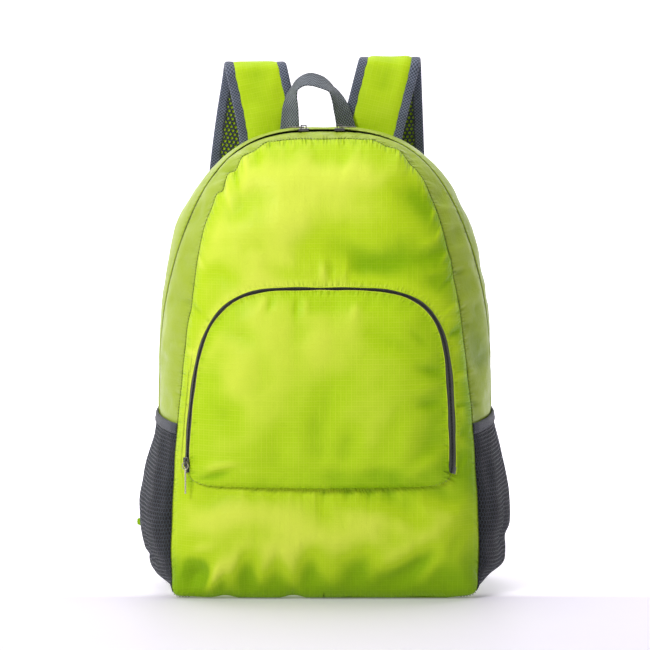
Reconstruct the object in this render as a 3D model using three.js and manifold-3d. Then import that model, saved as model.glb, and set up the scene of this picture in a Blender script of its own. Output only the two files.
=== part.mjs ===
// A packable backpack of thin ripstop cloth, standing on its base with its shoulder straps
// folded over behind it. Millimetres, +X to the right as seen from the front, -Y to the front,
// +Z up. The origin is the middle of the underside.

import * as THREE from 'three';
import Module from 'manifold-3d';

// Body of the bag
const BAG_WIDTH = 300;
const BAG_HEIGHT = 414;
const WIDEST_HEIGHT = 180;
const BASE_DEPTH = 124;
const FRONT_LEAN = 26;
const BACK_LEAN = 15;
const FRONT_SIDE_INSET = 13.5;
const FRONT_TOP_DROP = 9;
const BACK_SIDE_INSET = 11;
const BACK_TOP_DROP = 12;
const FRONT_BULGE = 33;
const BACK_BULGE = 11;
const BASE_WIDTH = 232;
const CLOTH = 1.4;
const SEAM_GAP = 0.3;
const FOLD_DEPTH = 7;

// Main zip, over the top of the bag and down both sides
const ZIP_PLACE_LOW = 0.42;
const ZIP_PLACE_TOP = 0.22;
const ZIP_WIDTH = 4;
const ZIP_FOOT_HEIGHT = 178;

// Front pocket
const POCKET_SIDE_MARGIN = 17.5;
const POCKET_SHIFT = -4.5;
const POCKET_BASE_HEIGHT = 104;
const POCKET_HEIGHT = 172;
const POCKET_PUFF = 9.6;
const POCKET_ZIP_WIDTH = 6.5;
const POCKET_ZIP_END = 10;
const POCKET_SEAT = CLOTH + 1.2;
const POCKET_SLIDER_LIFT = 1.8;

// Side pockets
const NET_FOOT_HEIGHT = 7;
const NET_HEIGHT = 148;
const NET_RISE = 12;
const NET_BULGE = 17;
const NET_THICKNESS = 1.2;
const BAND_HEIGHT = 9;
const BAND_THICKNESS = 2.2;
const NET_SEAT = 0.8;
const NET_FOOT_EASE = 0.9;
const NET_EDGE = 0.03;

// Shoulder straps
const STRAP_WIDTH = 56;
const STRAP_PADDING = 3.6;
const LEFT_STRAP_TOP = 471;
const RIGHT_STRAP_TOP = 475.5;
const STRAP_EDGE_WIDTH = 9;
const STRAP_EDGE_OVERLAP = 0.8;
const WEBBING_WIDTH = 20;
const WEBBING_THICKNESS = 1.6;
const WEBBING_SAG = 4;
const ADJUSTER_HEIGHT = 22;
const ADJUSTER_THICKNESS = 4.4;
const ADJUSTER_RIM = 4;
const ADJUSTER_BAR = 3.2;
const WEBBING_PLAY = 1;
const ANCHOR_HEIGHT = 46;
const ANCHOR_LENGTH = 30;
const ANCHOR_WIDTH = 34;
const ANCHOR_THICKNESS = 2;
const ANCHOR_STANDOFF = 2;
const ANCHOR_HEM = 4;

// Haul loop
const HAUL_WIDTH = 21;
const HAUL_THICKNESS = 1.8;
const HAUL_SPAN = 53;
const HAUL_SHIFT = -6.5;
const HAUL_TURN = 57;
const HAUL_HEIGHT = 54;

// Zip sliders and their pulls
const SLIDER_LENGTH = 9;
const SLIDER_WIDTH = 7;
const SLIDER_THICKNESS = 2.4;
const BRIDGE_WIDTH = 1.6;
const BRIDGE_OPENING = 2.3;
const BRIDGE_WALL = 1;
const BRIDGE_SHARE = 0.6;
const PULL_THICKNESS = 1.1;
const PULL_RING_LENGTH = 7;
const POCKET_PULL_LENGTH = 26;
const MAIN_PULL_LENGTH = 15;
const LEFT_SLIDER_PLACE = -22;
const RIGHT_SLIDER_PLACE = 15;

// How fine the solids are
const BAND_STEPS = 54;
const BASE_STEPS = 12;
const BASE_ROWS = 4;
const FRONT_GUSSET_ROWS = 2;
const BACK_GUSSET_ROWS = 3;
const FRONT_RINGS = 9;
const BACK_RINGS = 5;
const POCKET_STEPS = 52;
const POCKET_RINGS = 7;
const NET_STEPS_UP = 11;
const NET_STEPS_ACROSS = 8;
const STRAP_STEPS = 34;
const HAUL_STEPS = 22;
const WEBBING_STEPS = 12;
const ZIP_TO_POCKET_STEPS = 0.8;
const CURVE_SAMPLES = 1440;
const OUTLINE_TURN_WORTH = 45;
const STRAP_TURN_WORTH = 35;

const LIME = { color: 0xbfdc2c, roughness: 0.55, metalness: 0 };
const LIME_GUSSET = { color: 0xc8e33c, roughness: 0.5, metalness: 0 };
const SLATE = { color: 0x50545f, roughness: 0.8, metalness: 0 };
const NET = { color: 0x3f4345, roughness: 0.85, metalness: 0 };
const ZIP_GREY = { color: 0x2f3330, roughness: 0.6, metalness: 0 };
const SILVER = { color: 0xc9cbcc, roughness: 0.25, metalness: 1 };
const BLACK_PLASTIC = { color: 0x25272a, roughness: 0.45, metalness: 0 };

// Seen from the front, each outline is a superellipse drawn round (shift, middle) and narrowed
// towards its top: roundTop and roundBase say how square its shoulders and its feet are, and
// taperRight is the narrowing of the right half where it isn't the left half's.
const FRONT_OUTLINE = {
  halfWidth: BAG_WIDTH / 2 - FRONT_SIDE_INSET, shift: 0, base: 0, middle: WIDEST_HEIGHT,
  top: BAG_HEIGHT - FRONT_TOP_DROP, taper: 0.33, roundTop: 4.4, roundBase: 16,
};
const SIDE_OUTLINE = {
  halfWidth: BAG_WIDTH / 2, shift: 0, base: 0, middle: WIDEST_HEIGHT,
  top: BAG_HEIGHT, taper: 0.024, roundTop: 2.65, roundBase: 11,
};
const BACK_OUTLINE = {
  halfWidth: BAG_WIDTH / 2 - BACK_SIDE_INSET, shift: 0, base: 0, middle: WIDEST_HEIGHT,
  top: BAG_HEIGHT - BACK_TOP_DROP, taper: 0.24, roundTop: 3.3, roundBase: 14,
};
const POCKET_OUTLINE = {
  halfWidth: FRONT_OUTLINE.halfWidth - POCKET_SIDE_MARGIN - POCKET_ZIP_WIDTH / 2,
  shift: POCKET_SHIFT, base: POCKET_BASE_HEIGHT, middle: POCKET_BASE_HEIGHT + POCKET_HEIGHT * 0.4,
  top: POCKET_BASE_HEIGHT + POCKET_HEIGHT, taper: 0.20, taperRight: 0.09, roundTop: 4.2, roundBase: 12,
};

// Main folds and dents of the front: place as shares of half the bag's width and of its height,
// length and breadth as shares of the bag's width, turn in degrees, lift as a share of FOLD_DEPTH.
const FRONT_FOLDS = [
  { name: 'dent at the lower left', x: -0.80, z: 0.07, long: 0.10, broad: 0.055, turn: 60, lift: -1.3 },
  { name: 'swell of the lower front', x: 0.05, z: 0.12, long: 0.42, broad: 0.09, turn: 0, lift: 0.8 },
  { name: 'hollow over the lower seam', x: 0.00, z: 0.235, long: 0.60, broad: 0.060, turn: 0, lift: -0.4 },
  { name: 'crease right of the pocket', x: 0.80, z: 0.30, long: 0.10, broad: 0.03, turn: -38, lift: -0.7 },
  { name: 'slack above the pocket, left', x: -0.45, z: 0.78, long: 0.20, broad: 0.06, turn: 20, lift: 0.5 },
  { name: 'hollow above the pocket', x: 0.15, z: 0.74, long: 0.30, broad: 0.06, turn: -6, lift: -0.6 },
  { name: 'slack under the top seam', x: 0.10, z: 0.90, long: 0.35, broad: 0.04, turn: 2, lift: 0.5 },
  { name: 'hollow at the right shoulder', x: 0.55, z: 0.84, long: 0.14, broad: 0.05, turn: -50, lift: -0.6 },
];

// The strap's middle line. out: distance from the bag's middle, as a share of half its width, for
// the left and the right strap; back: distance behind the back seam's top, as a share of the
// strap's width; up: height, as a share of the way from the back seam's top to the strap's top
// where it is positive, and of the way down to the floor where it is negative.
const STRAP_ROUTE = [
  { name: 'sewn in', leftOut: 0.320, rightOut: 0.255, back: 0.20, up: -0.045 },
  { name: 'rising', leftOut: 0.352, rightOut: 0.305, back: 0.22, up: 0.25 },
  { name: 'upper rise', leftOut: 0.405, rightOut: 0.372, back: 0.27, up: 0.80 },
  { name: 'turning over', leftOut: 0.421, rightOut: 0.391, back: 0.335, up: 0.95 },
  { name: 'crest', leftOut: 0.429, rightOut: 0.398, back: 0.475, up: 1.00 },
  { name: 'turned over', leftOut: 0.436, rightOut: 0.403, back: 0.615, up: 0.95 },
  { name: 'top of the fall', leftOut: 0.445, rightOut: 0.407, back: 0.68, up: 0.80 },
  { name: 'upper fall', leftOut: 0.490, rightOut: 0.420, back: 0.78, up: 0.20 },
  { name: 'behind the top', leftOut: 0.530, rightOut: 0.435, back: 0.84, up: -0.08 },
  { name: 'behind the shoulders', leftOut: 0.575, rightOut: 0.480, back: 0.86, up: -0.25 },
  { name: 'behind the middle', leftOut: 0.610, rightOut: 0.540, back: 0.86, up: -0.45 },
  { name: 'tip', leftOut: 0.650, rightOut: 0.610, back: 0.80, up: -0.66 },
];

// The haul loop's middle line. along: from its left foot to its right foot, as a share of
// HAUL_SPAN; up: as a share of HAUL_HEIGHT.
const HAUL_ROUTE = [
  { name: 'left foot', along: 0.00, up: 0.00 },
  { name: 'left leg', along: 0.03, up: 0.25 },
  { name: 'left shoulder', along: 0.12, up: 0.60 },
  { name: 'left of the top', along: 0.24, up: 0.87 },
  { name: 'top', along: 0.40, up: 1.00 },
  { name: 'right of the top', along: 0.62, up: 0.90 },
  { name: 'right shoulder', along: 0.84, up: 0.63 },
  { name: 'right leg', along: 0.97, up: 0.32 },
  { name: 'right foot', along: 1.00, up: 0.00 },
];

const wasm = await Module();
wasm.setup();

// The number at a share of the way between two others
function mix(from, to, share) {
  return from + (to - from) * share;
}

function smoothStep(from, to, value) {
  const share = Math.min(1, Math.max(0, (value - from) / (to - from)));
  return share * share * (3 - 2 * share);
}

function narrowing(outline, z, side) {
  const share = (z - outline.base) / (outline.top - outline.base);
  const taper = side > 0 ? outline.taperRight ?? outline.taper : outline.taper;
  return 1 - taper * share * share;
}

// The point of an outline in the direction of an angle, drawn in towards the middle by a share
function outlinePoint(outline, angle, share = 1) {
  const sine = Math.sin(angle);
  const power = sine > 0 ? outline.roundTop : outline.roundBase;
  const reach = sine > 0 ? outline.top - outline.middle : outline.middle - outline.base;
  const sum = Math.abs(Math.cos(angle) / outline.halfWidth) ** power + Math.abs(sine / reach) ** power;
  const radius = share * sum ** (-1 / power);
  const z = outline.middle + radius * sine;
  const x = outline.shift + radius * Math.cos(angle) * narrowing(outline, z, Math.cos(angle));
  return { x, z, radius };
}

// How far out a point lies: 0 in the middle of the outline, 1 on it
function outlineShare(outline, x, z) {
  const above = z > outline.middle;
  const power = above ? outline.roundTop : outline.roundBase;
  const reach = above ? outline.top - outline.middle : outline.middle - outline.base;
  const out = x - outline.shift;
  const wide = Math.abs(out / narrowing(outline, z, out) / outline.halfWidth);
  const high = Math.abs((z - outline.middle) / reach);
  return (wide ** power + high ** power) ** (1 / power);
}

// Depth of the front and back seams, which lean in towards the top
function seamDepth(z, lean) {
  return BASE_DEPTH / 2 - lean * Math.max(0, z / BAG_HEIGHT) ** 2.2;
}

// A crowned panel: nothing at the seam, rising steeply inside it and gently to the middle
function crown(outline, x, z) {
  const share = Math.min(1, outlineShare(outline, x, z));
  const wide = (x - outline.shift) / outline.halfWidth;
  const high = (z - outline.middle) / (outline.top - outline.middle);
  return (1 - share ** 5) ** 0.6 * (1 - 0.22 * wide * wide - 0.16 * high * high);
}

// The sum of the fold table at a point, each fold a long smooth mound or hollow
function foldLift(folds, x, z) {
  return folds.reduce((sum, fold) => {
    const turn = THREE.MathUtils.degToRad(fold.turn);
    const dx = x - fold.x * BAG_WIDTH / 2;
    const dz = z - fold.z * BAG_HEIGHT;
    const along = (dx * Math.cos(turn) + dz * Math.sin(turn)) / (fold.long * BAG_WIDTH);
    const over = (dz * Math.cos(turn) - dx * Math.sin(turn)) / (fold.broad * BAG_WIDTH);
    return sum + fold.lift * FOLD_DEPTH * Math.exp(-along * along - over * over);
  }, 0);
}

function frontDepth(x, z) {
  const share = Math.min(1, outlineShare(FRONT_OUTLINE, x, z));
  const folds = foldLift(FRONT_FOLDS, x, z) * (1 - share ** 6);
  return -seamDepth(z, FRONT_LEAN) - FRONT_BULGE * crown(FRONT_OUTLINE, x, z) - folds;
}

function backDepth(x, z) {
  return seamDepth(z, BACK_LEAN) + BACK_BULGE * crown(BACK_OUTLINE, x, z);
}

// The band round the bag: the three outlines joined by a parabola from the front seam (0),
// through the widest line (1/2), to the back seam (1).
function bandPoint(angle, across) {
  const front = outlinePoint(FRONT_OUTLINE, angle);
  const side = outlinePoint(SIDE_OUTLINE, angle);
  const back = outlinePoint(BACK_OUTLINE, angle);
  const frontWeight = (1 - across) * (1 - 2 * across);
  const sideWeight = 4 * across * (1 - across);
  const backWeight = across * (2 * across - 1);
  const x = frontWeight * front.x + sideWeight * side.x + backWeight * back.x;
  const z = frontWeight * front.z + sideWeight * side.z + backWeight * back.z;
  const y = mix(-seamDepth(front.z, FRONT_LEAN), seamDepth(back.z, BACK_LEAN), across);
  return new THREE.Vector3(x, y, flatten(z));
}

// The underside lies flat on the floor
function flatten(z) {
  return z < SEAM_GAP ? 0 : z;
}

// The direction in which a wall gets its thickness: the slope of a rounded box round the bag.
// It is the same for all panels, so that walls which meet at a seam are mitred.
function outward(point) {
  const slope = (value, half) => (Math.abs(value / half) ** 3 / half) * Math.sign(value);
  return new THREE.Vector3(
    slope(point.x, BAG_WIDTH / 2),
    slope(point.y, BASE_DEPTH / 2 + FRONT_BULGE / 2),
    slope(point.z - BAG_HEIGHT / 2, BAG_HEIGHT / 2),
  ).normalize();
}

function moved(point, direction, distance) {
  return point.clone().addScaledVector(direction, distance);
}

// A solid from its corners and triangles, turned so that its faces point out
function solid(corners, triangles) {
  const volume = triangles.reduce((sum, [a, b, c]) => (
    sum + corners[a].dot(new THREE.Vector3().crossVectors(corners[b], corners[c]))
  ), 0);
  const facing = volume < 0 ? triangles.map(([a, b, c]) => [a, c, b]) : triangles;
  const geometry = new THREE.BufferGeometry();
  const places = new Float32Array(corners.flatMap((corner) => corner.toArray()));
  geometry.setAttribute('position', new THREE.BufferAttribute(places, 3));
  geometry.setIndex(facing.flat());
  return geometry;
}

// A wall of cloth: a grid of outer points and the same grid moved inwards, closed along its
// edges. A round wall closes on itself sideways and starts from one middle point.
function wall(rows, columns, outerPoint, innerPoint, round = false) {
  const corners = [];
  const sheets = [outerPoint, innerPoint].map((pointAt) => {
    const grid = [];
    for (let row = 0; row <= rows; row += 1) {
      grid.push([]);
      for (let column = 0; column <= columns; column += 1) {
        if (round && row === 0 && column > 0) {
          grid[row].push(grid[row][0]);
        } else if (round && column === columns) {
          grid[row].push(grid[row][0]);
        } else {
          corners.push(pointAt(row, column));
          grid[row].push(corners.length - 1);
        }
      }
    }
    return grid;
  });
  const triangles = [];
  const quad = (a, b, c, d) => {
    if (a !== b) triangles.push([a, b, c]);
    triangles.push([a, c, d]);
  };
  for (let row = 0; row < rows; row += 1) {
    for (let column = 0; column < columns; column += 1) {
      const [outer, inner] = sheets.map((grid) => [
        grid[row][column], grid[row][column + 1], grid[row + 1][column + 1], grid[row + 1][column],
      ]);
      quad(...outer);
      if (inner[0] !== inner[1]) triangles.push([inner[0], inner[2], inner[1]]);
      triangles.push([inner[0], inner[3], inner[2]]);
    }
  }
  const [outer, inner] = sheets;
  for (let column = 0; column < columns; column += 1) {
    if (!round) quad(outer[0][column + 1], outer[0][column], inner[0][column], inner[0][column + 1]);
    quad(outer[rows][column], outer[rows][column + 1], inner[rows][column + 1], inner[rows][column]);
  }
  for (let row = 0; row < rows && !round; row += 1) {
    quad(outer[row][0], outer[row + 1][0], inner[row + 1][0], inner[row][0]);
    quad(outer[row + 1][columns], outer[row][columns], inner[row][columns], inner[row + 1][columns]);
  }
  return solid(corners, triangles);
}

// Shares along a line, in equal steps of length plus turning, so that bends get more of them
// than straight stretches. turnWorth is the length that one radian of turning counts as.
function evenShares(pointAt, count, turnWorth) {
  const points = Array.from({ length: CURVE_SAMPLES + 1 }, (_, step) => pointAt(step / CURVE_SAMPLES));
  const sums = [0];
  for (let step = 1; step <= CURVE_SAMPLES; step += 1) {
    const way = points[step].clone().sub(points[step - 1]);
    const next = step < CURVE_SAMPLES ? points[step + 1].clone().sub(points[step]) : way;
    sums.push(sums[step - 1] + way.length() + turnWorth * way.angleTo(next));
  }
  return Array.from({ length: count + 1 }, (_, index) => {
    if (index === 0 || index === count) return index / count;
    const wanted = sums[CURVE_SAMPLES] * index / count;
    const step = sums.findIndex((sum) => sum > wanted) - 1;
    return (step + (wanted - sums[step]) / (sums[step + 1] - sums[step])) / CURVE_SAMPLES;
  });
}

function evenAngles(outline, from, to, count) {
  const pointAt = (share) => {
    const { x, z } = outlinePoint(outline, mix(from, to, share));
    return new THREE.Vector3(x, 0, z);
  };
  return evenShares(pointAt, count, OUTLINE_TURN_WORTH).map((share) => mix(from, to, share));
}

// The side band runs from the right foot over the top to the left foot, the base across the rest
const FOOT_ANGLE = Math.atan2(WIDEST_HEIGHT, BASE_WIDTH / 2);
const BAND_ANGLES = evenAngles(FRONT_OUTLINE, -FOOT_ANGLE, Math.PI + FOOT_ANGLE, BAND_STEPS);
const BASE_ANGLES = Array.from({ length: BASE_STEPS + 1 }, (_, step) => {
  const x = mix(-BASE_WIDTH / 2, BASE_WIDTH / 2, step / BASE_STEPS);
  return Math.PI + Math.atan2(WIDEST_HEIGHT, -x);
});
const ROUND_ANGLES = [...BAND_ANGLES, ...BASE_ANGLES.slice(1, -1)];

// A share of the way across the band that is a given length there
function acrossShare(angle, length) {
  return length / (bandPoint(angle, 0).distanceTo(bandPoint(angle, 0.5)) * 2);
}

function crownedPanel(outline, depthAt, rings) {
  const pointAt = (ring, column) => {
    const angle = ROUND_ANGLES[column % ROUND_ANGLES.length];
    const edge = 1 - SEAM_GAP / 2 / outlinePoint(outline, angle).radius;
    const share = edge * Math.sin((Math.PI / 2) * (ring / rings) ** 0.9);
    const { x, z } = outlinePoint(outline, angle, share);
    return new THREE.Vector3(x, depthAt(x, z), ring === rings ? flatten(z) : z);
  };
  const innerAt = (ring, column) => {
    const point = pointAt(ring, column);
    return moved(point, outward(point), -CLOTH);
  };
  return wall(rings, ROUND_ANGLES.length, pointAt, innerAt, true);
}

// A strip of the band between two lines, given as shares across it for each angle
function bandStrip(angles, steps, startAt, endAt) {
  const pointAt = (row, column) => {
    const angle = angles[column];
    return bandPoint(angle, mix(startAt(angle), endAt(angle), row / steps));
  };
  const innerAt = (row, column) => {
    const point = pointAt(row, column);
    return moved(point, outward(point), -CLOTH);
  };
  return wall(steps, angles.length - 1, pointAt, innerAt);
}

// The angle at which the band reaches a height, on the right side (1) or the left (-1)
function angleAtHeight(height, across, side) {
  let low = -FOOT_ANGLE;
  let high = Math.PI / 2;
  for (let step = 0; step < 30; step += 1) {
    const middle = (low + high) / 2;
    if (bandPoint(middle, across).z < height) low = middle;
    else high = middle;
  }
  return side > 0 ? low : Math.PI - low;
}

// The main zip's place across the band: near the widest line at the sides, further forward on top
function zipPlace(angle) {
  return mix(ZIP_PLACE_LOW, ZIP_PLACE_TOP, smoothStep(0.2, 1, Math.sin(angle)));
}

// The two halves of the band stand apart for the main zip and close up below its ends
const ZIP_ANGLES = BAND_ANGLES.filter((angle) => bandPoint(angle, zipPlace(angle)).z > ZIP_FOOT_HEIGHT);

function zipOpening(angle) {
  const open = ZIP_ANGLES.includes(angle) ? ZIP_WIDTH / 2 + SEAM_GAP : SEAM_GAP / 2;
  return acrossShare(angle, open);
}

// The front pocket lies on the front panel, a little proud of it. Its zip leaves out the foot.
const POCKET_END_ANGLE = Math.atan2(
  POCKET_OUTLINE.middle - POCKET_BASE_HEIGHT - POCKET_ZIP_END, POCKET_OUTLINE.halfWidth,
);
const POCKET_ANGLES = evenAngles(
  POCKET_OUTLINE, -POCKET_END_ANGLE, 2 * Math.PI - POCKET_END_ANGLE, POCKET_STEPS,
);
const POCKET_ZIP_ANGLES = evenAngles(
  POCKET_OUTLINE, -POCKET_END_ANGLE, Math.PI + POCKET_END_ANGLE, Math.round(POCKET_STEPS * ZIP_TO_POCKET_STEPS),
);

// A point above the front panel, set off along the mitre direction
function overFront(x, z, lift) {
  const ground = new THREE.Vector3(x, frontDepth(x, z), z);
  return moved(ground, outward(ground), lift);
}

function pocketFace() {
  const point = (ring, column, sunk) => {
    const angle = POCKET_ANGLES[column % POCKET_STEPS];
    const whole = outlinePoint(POCKET_OUTLINE, angle);
    const zipped = Math.sin(angle) > -Math.sin(POCKET_END_ANGLE) - 0.02;
    const edge = 1 - (zipped ? POCKET_ZIP_WIDTH / 2 + SEAM_GAP : 0) / whole.radius;
    const share = Math.sin((Math.PI / 2) * (ring / POCKET_RINGS) ** 0.9);
    const { x, z } = outlinePoint(POCKET_OUTLINE, angle, edge * share);
    const puff = POCKET_PUFF * (1 - share ** 3) ** 0.9;
    return overFront(x, z, POCKET_SEAT + puff - sunk);
  };
  return wall(
    POCKET_RINGS, POCKET_STEPS,
    (ring, column) => point(ring, column, 0), (ring, column) => point(ring, column, CLOTH), true,
  );
}

function pocketZip() {
  const steps = POCKET_ZIP_ANGLES.length - 1;
  const point = (row, column, lift) => {
    const angle = POCKET_ZIP_ANGLES[column];
    const whole = outlinePoint(POCKET_OUTLINE, angle);
    const share = 1 + (row - 0.5) * POCKET_ZIP_WIDTH / whole.radius;
    const { x, z } = outlinePoint(POCKET_OUTLINE, angle, share);
    return overFront(x, z, lift);
  };
  return wall(
    1, steps,
    (row, column) => point(row, column, POCKET_SEAT), (row, column) => point(row, column, POCKET_SEAT - CLOTH),
  );
}

// Side pockets: nets that stand off the band, most at a third of their height
function netRim(across) {
  return NET_FOOT_HEIGHT + NET_HEIGHT + NET_RISE * across;
}

function netPoint(up, across, side, lift) {
  const ground = bandPoint(angleAtHeight(mix(NET_FOOT_HEIGHT, netRim(across), up), across, side), across);
  const swell = Math.max(0, Math.sin(Math.PI * Math.min(1, up) ** 0.75)) ** 1.5;
  const full = NET_BULGE * swell * Math.sin(Math.PI * across) ** 0.7;
  return moved(ground, outward(ground), lift + full + NET_FOOT_EASE * (1 - up) ** 4);
}

function sideNet(side) {
  const top = 1 - (BAND_HEIGHT + SEAM_GAP) / NET_HEIGHT;
  const point = (row, column, lift) => {
    const across = mix(NET_EDGE, 1 - NET_EDGE, column / NET_STEPS_ACROSS);
    return netPoint(top * row / NET_STEPS_UP, across, side, lift);
  };
  return wall(
    NET_STEPS_UP, NET_STEPS_ACROSS,
    (row, column) => point(row, column, NET_SEAT + NET_THICKNESS), (row, column) => point(row, column, NET_SEAT),
  );
}

function sideBand(side) {
  const point = (row, column, lift) => {
    const across = mix(NET_EDGE, 1 - NET_EDGE, column / NET_STEPS_ACROSS);
    return netPoint(1 - (1 - row) * BAND_HEIGHT / NET_HEIGHT, across, side, lift);
  };
  return wall(
    1, NET_STEPS_ACROSS,
    (row, column) => point(row, column, NET_SEAT + BAND_THICKNESS), (row, column) => point(row, column, NET_SEAT),
  );
}

// A bar along a line of frames: each frame has a middle, a direction across and one through.
// Opposite faces are split the same way, so that bars laid side by side stay clear of each other.
function bar(frames, width, thickness, sideways = 0, through = 0) {
  const corners = [];
  const triangles = [];
  frames.forEach(({ middle, wide, thick }) => {
    [[-1, -1], [1, -1], [1, 1], [-1, 1]].forEach(([a, b]) => {
      const corner = moved(middle, wide, sideways + a * width / 2);
      corners.push(moved(corner, thick, through + b * thickness / 2));
    });
  });
  for (let step = 0; step + 1 < frames.length; step += 1) {
    for (let edge = 0; edge < 4; edge += 1) {
      const a = step * 4 + edge;
      const b = step * 4 + (edge + 1) % 4;
      if (edge < 2) triangles.push([a, b, b + 4], [a, b + 4, a + 4]);
      else triangles.push([a, b, a + 4], [b, b + 4, a + 4]);
    }
  }
  const last = (frames.length - 1) * 4;
  triangles.push([0, 2, 1], [0, 3, 2], [last, last + 1, last + 2], [last, last + 2, last + 3]);
  return solid(corners, triangles);
}

// The strap's frames along its route: wide lies level with the bag, thick points to its lime face
function strapFrames(side) {
  const seamTop = BACK_OUTLINE.top;
  const seamBack = seamDepth(seamTop, BACK_LEAN);
  const points = STRAP_ROUTE.map((row) => new THREE.Vector3(
    side * (side > 0 ? row.rightOut : row.leftOut) * BAG_WIDTH / 2,
    seamBack + row.back * STRAP_WIDTH,
    row.up > 0 ? mix(seamTop, side > 0 ? RIGHT_STRAP_TOP : LEFT_STRAP_TOP, row.up) : seamTop * (1 + row.up),
  ));
  const curve = new THREE.CatmullRomCurve3(points, false, 'centripetal');
  return evenShares((share) => curve.getPointAt(share), STRAP_STEPS, STRAP_TURN_WORTH).map((share) => {
    const middle = curve.getPointAt(share);
    const forward = curve.getTangentAt(share);
    const wide = new THREE.Vector3(1, 0, 0).addScaledVector(forward, -forward.x).normalize();
    return { middle, wide, thick: new THREE.Vector3().crossVectors(wide, forward) };
  });
}

// The haul loop's frames: two legs that face the front, and a top that turns towards its edge
function haulFrames() {
  const foot = BACK_OUTLINE.top + SEAM_GAP * 4;
  const back = seamDepth(foot, BACK_LEAN);
  const points = HAUL_ROUTE.map((row) => new THREE.Vector3(
    HAUL_SHIFT + (row.along - 0.5) * HAUL_SPAN, back, foot + row.up * HAUL_HEIGHT,
  ));
  const curve = new THREE.CatmullRomCurve3(points, false, 'centripetal');
  return evenShares((share) => curve.getPointAt(share), HAUL_STEPS, STRAP_TURN_WORTH).map((share) => {
    const forward = curve.getTangentAt(share);
    const level = new THREE.Vector3(0, 1, 0);
    const turn = THREE.MathUtils.degToRad(HAUL_TURN) * Math.sin(Math.PI * share) ** 1.6;
    const wide = new THREE.Vector3().crossVectors(level, forward).multiplyScalar(-Math.cos(turn));
    wide.addScaledVector(level, Math.sin(turn)).normalize();
    return { middle: curve.getPointAt(share), wide, thick: new THREE.Vector3().crossVectors(wide, forward) };
  });
}

function toManifold(geometry) {
  return new wasm.Manifold(new wasm.Mesh({
    numProp: 3,
    vertProperties: geometry.attributes.position.array,
    triVerts: new Uint32Array(geometry.index.array),
  }));
}

function fromManifold(joined) {
  const mesh = joined.getMesh();
  const geometry = new THREE.BufferGeometry();
  geometry.setAttribute('position', new THREE.BufferAttribute(new Float32Array(mesh.vertProperties), 3));
  geometry.setIndex(Array.from(mesh.triVerts));
  return geometry;
}

// A block between two corners
function block(low, high) {
  const middle = new THREE.Vector3((low[0] + high[0]) / 2, (low[1] + high[1]) / 2, low[2]);
  const top = middle.clone().setZ(high[2]);
  const wide = new THREE.Vector3(1, 0, 0);
  const thick = new THREE.Vector3(0, 1, 0);
  return bar([{ middle, wide, thick }, { middle: top, wide, thick }], high[0] - low[0], high[1] - low[1]);
}

// A slider in its own frame: X along the zip, Y across it, Z outwards, on the zip at Z = 0
function slider() {
  const half = SLIDER_LENGTH / 2;
  const reach = SLIDER_LENGTH * BRIDGE_SHARE / 2;
  const top = SLIDER_THICKNESS + BRIDGE_OPENING;
  const base = toManifold(block([-half, -SLIDER_WIDTH / 2, 0], [half, SLIDER_WIDTH / 2, SLIDER_THICKNESS]));
  const arch = toManifold(block(
    [-reach, -BRIDGE_WIDTH / 2, SLIDER_THICKNESS / 2], [reach, BRIDGE_WIDTH / 2, top + BRIDGE_WALL],
  ));
  const opening = toManifold(block(
    [-reach + BRIDGE_WALL, -BRIDGE_WIDTH, SLIDER_THICKNESS], [reach - BRIDGE_WALL, BRIDGE_WIDTH, top],
  ));
  return fromManifold(base.add(arch).subtract(opening));
}

// A pull in the slider's frame: a ring round the bridge and a bar that lies along X
const PULL_AXIS = SLIDER_THICKNESS + BRIDGE_OPENING / 2;

function pull(length) {
  const back = PULL_THICKNESS / 2;
  const ringHalf = BRIDGE_WIDTH / 2 + SEAM_GAP + PULL_THICKNESS;
  const barHalf = PULL_THICKNESS;
  const shape = new THREE.Shape();
  shape.moveTo(-back, -ringHalf);
  shape.lineTo(PULL_RING_LENGTH, -ringHalf);
  shape.lineTo(PULL_RING_LENGTH + ringHalf, -barHalf);
  shape.lineTo(length - barHalf, -barHalf);
  shape.lineTo(length, 0);
  shape.lineTo(length - barHalf, barHalf);
  shape.lineTo(PULL_RING_LENGTH + ringHalf, barHalf);
  shape.lineTo(PULL_RING_LENGTH, ringHalf);
  shape.lineTo(-back, ringHalf);
  shape.closePath();
  const hole = new THREE.Path();
  const holeHalf = ringHalf - PULL_THICKNESS;
  hole.moveTo(back, -holeHalf);
  hole.lineTo(PULL_RING_LENGTH - back, -holeHalf);
  hole.lineTo(PULL_RING_LENGTH - back, holeHalf);
  hole.lineTo(back, holeHalf);
  hole.closePath();
  shape.holes.push(hole);
  const geometry = new THREE.ExtrudeGeometry(shape, { depth: PULL_THICKNESS, bevelEnabled: false });
  return geometry.translate(0, 0, PULL_AXIS - PULL_THICKNESS / 2);
}

const bag = new THREE.Group();

function piece(name, finish, geometry, parent = bag) {
  const mesh = new THREE.Mesh(geometry, new THREE.MeshStandardMaterial(finish));
  mesh.name = name;
  parent.add(mesh);
  return mesh;
}

// A group whose X, Y and Z point along the zip, across it and outwards
function seatedGroup(place, along, out) {
  const group = new THREE.Group();
  const x = along.clone().addScaledVector(out, -along.dot(out)).normalize();
  const y = new THREE.Vector3().crossVectors(out, x);
  group.setRotationFromMatrix(new THREE.Matrix4().makeBasis(x, y, out));
  group.position.copy(place);
  bag.add(group);
  return group;
}

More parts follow.
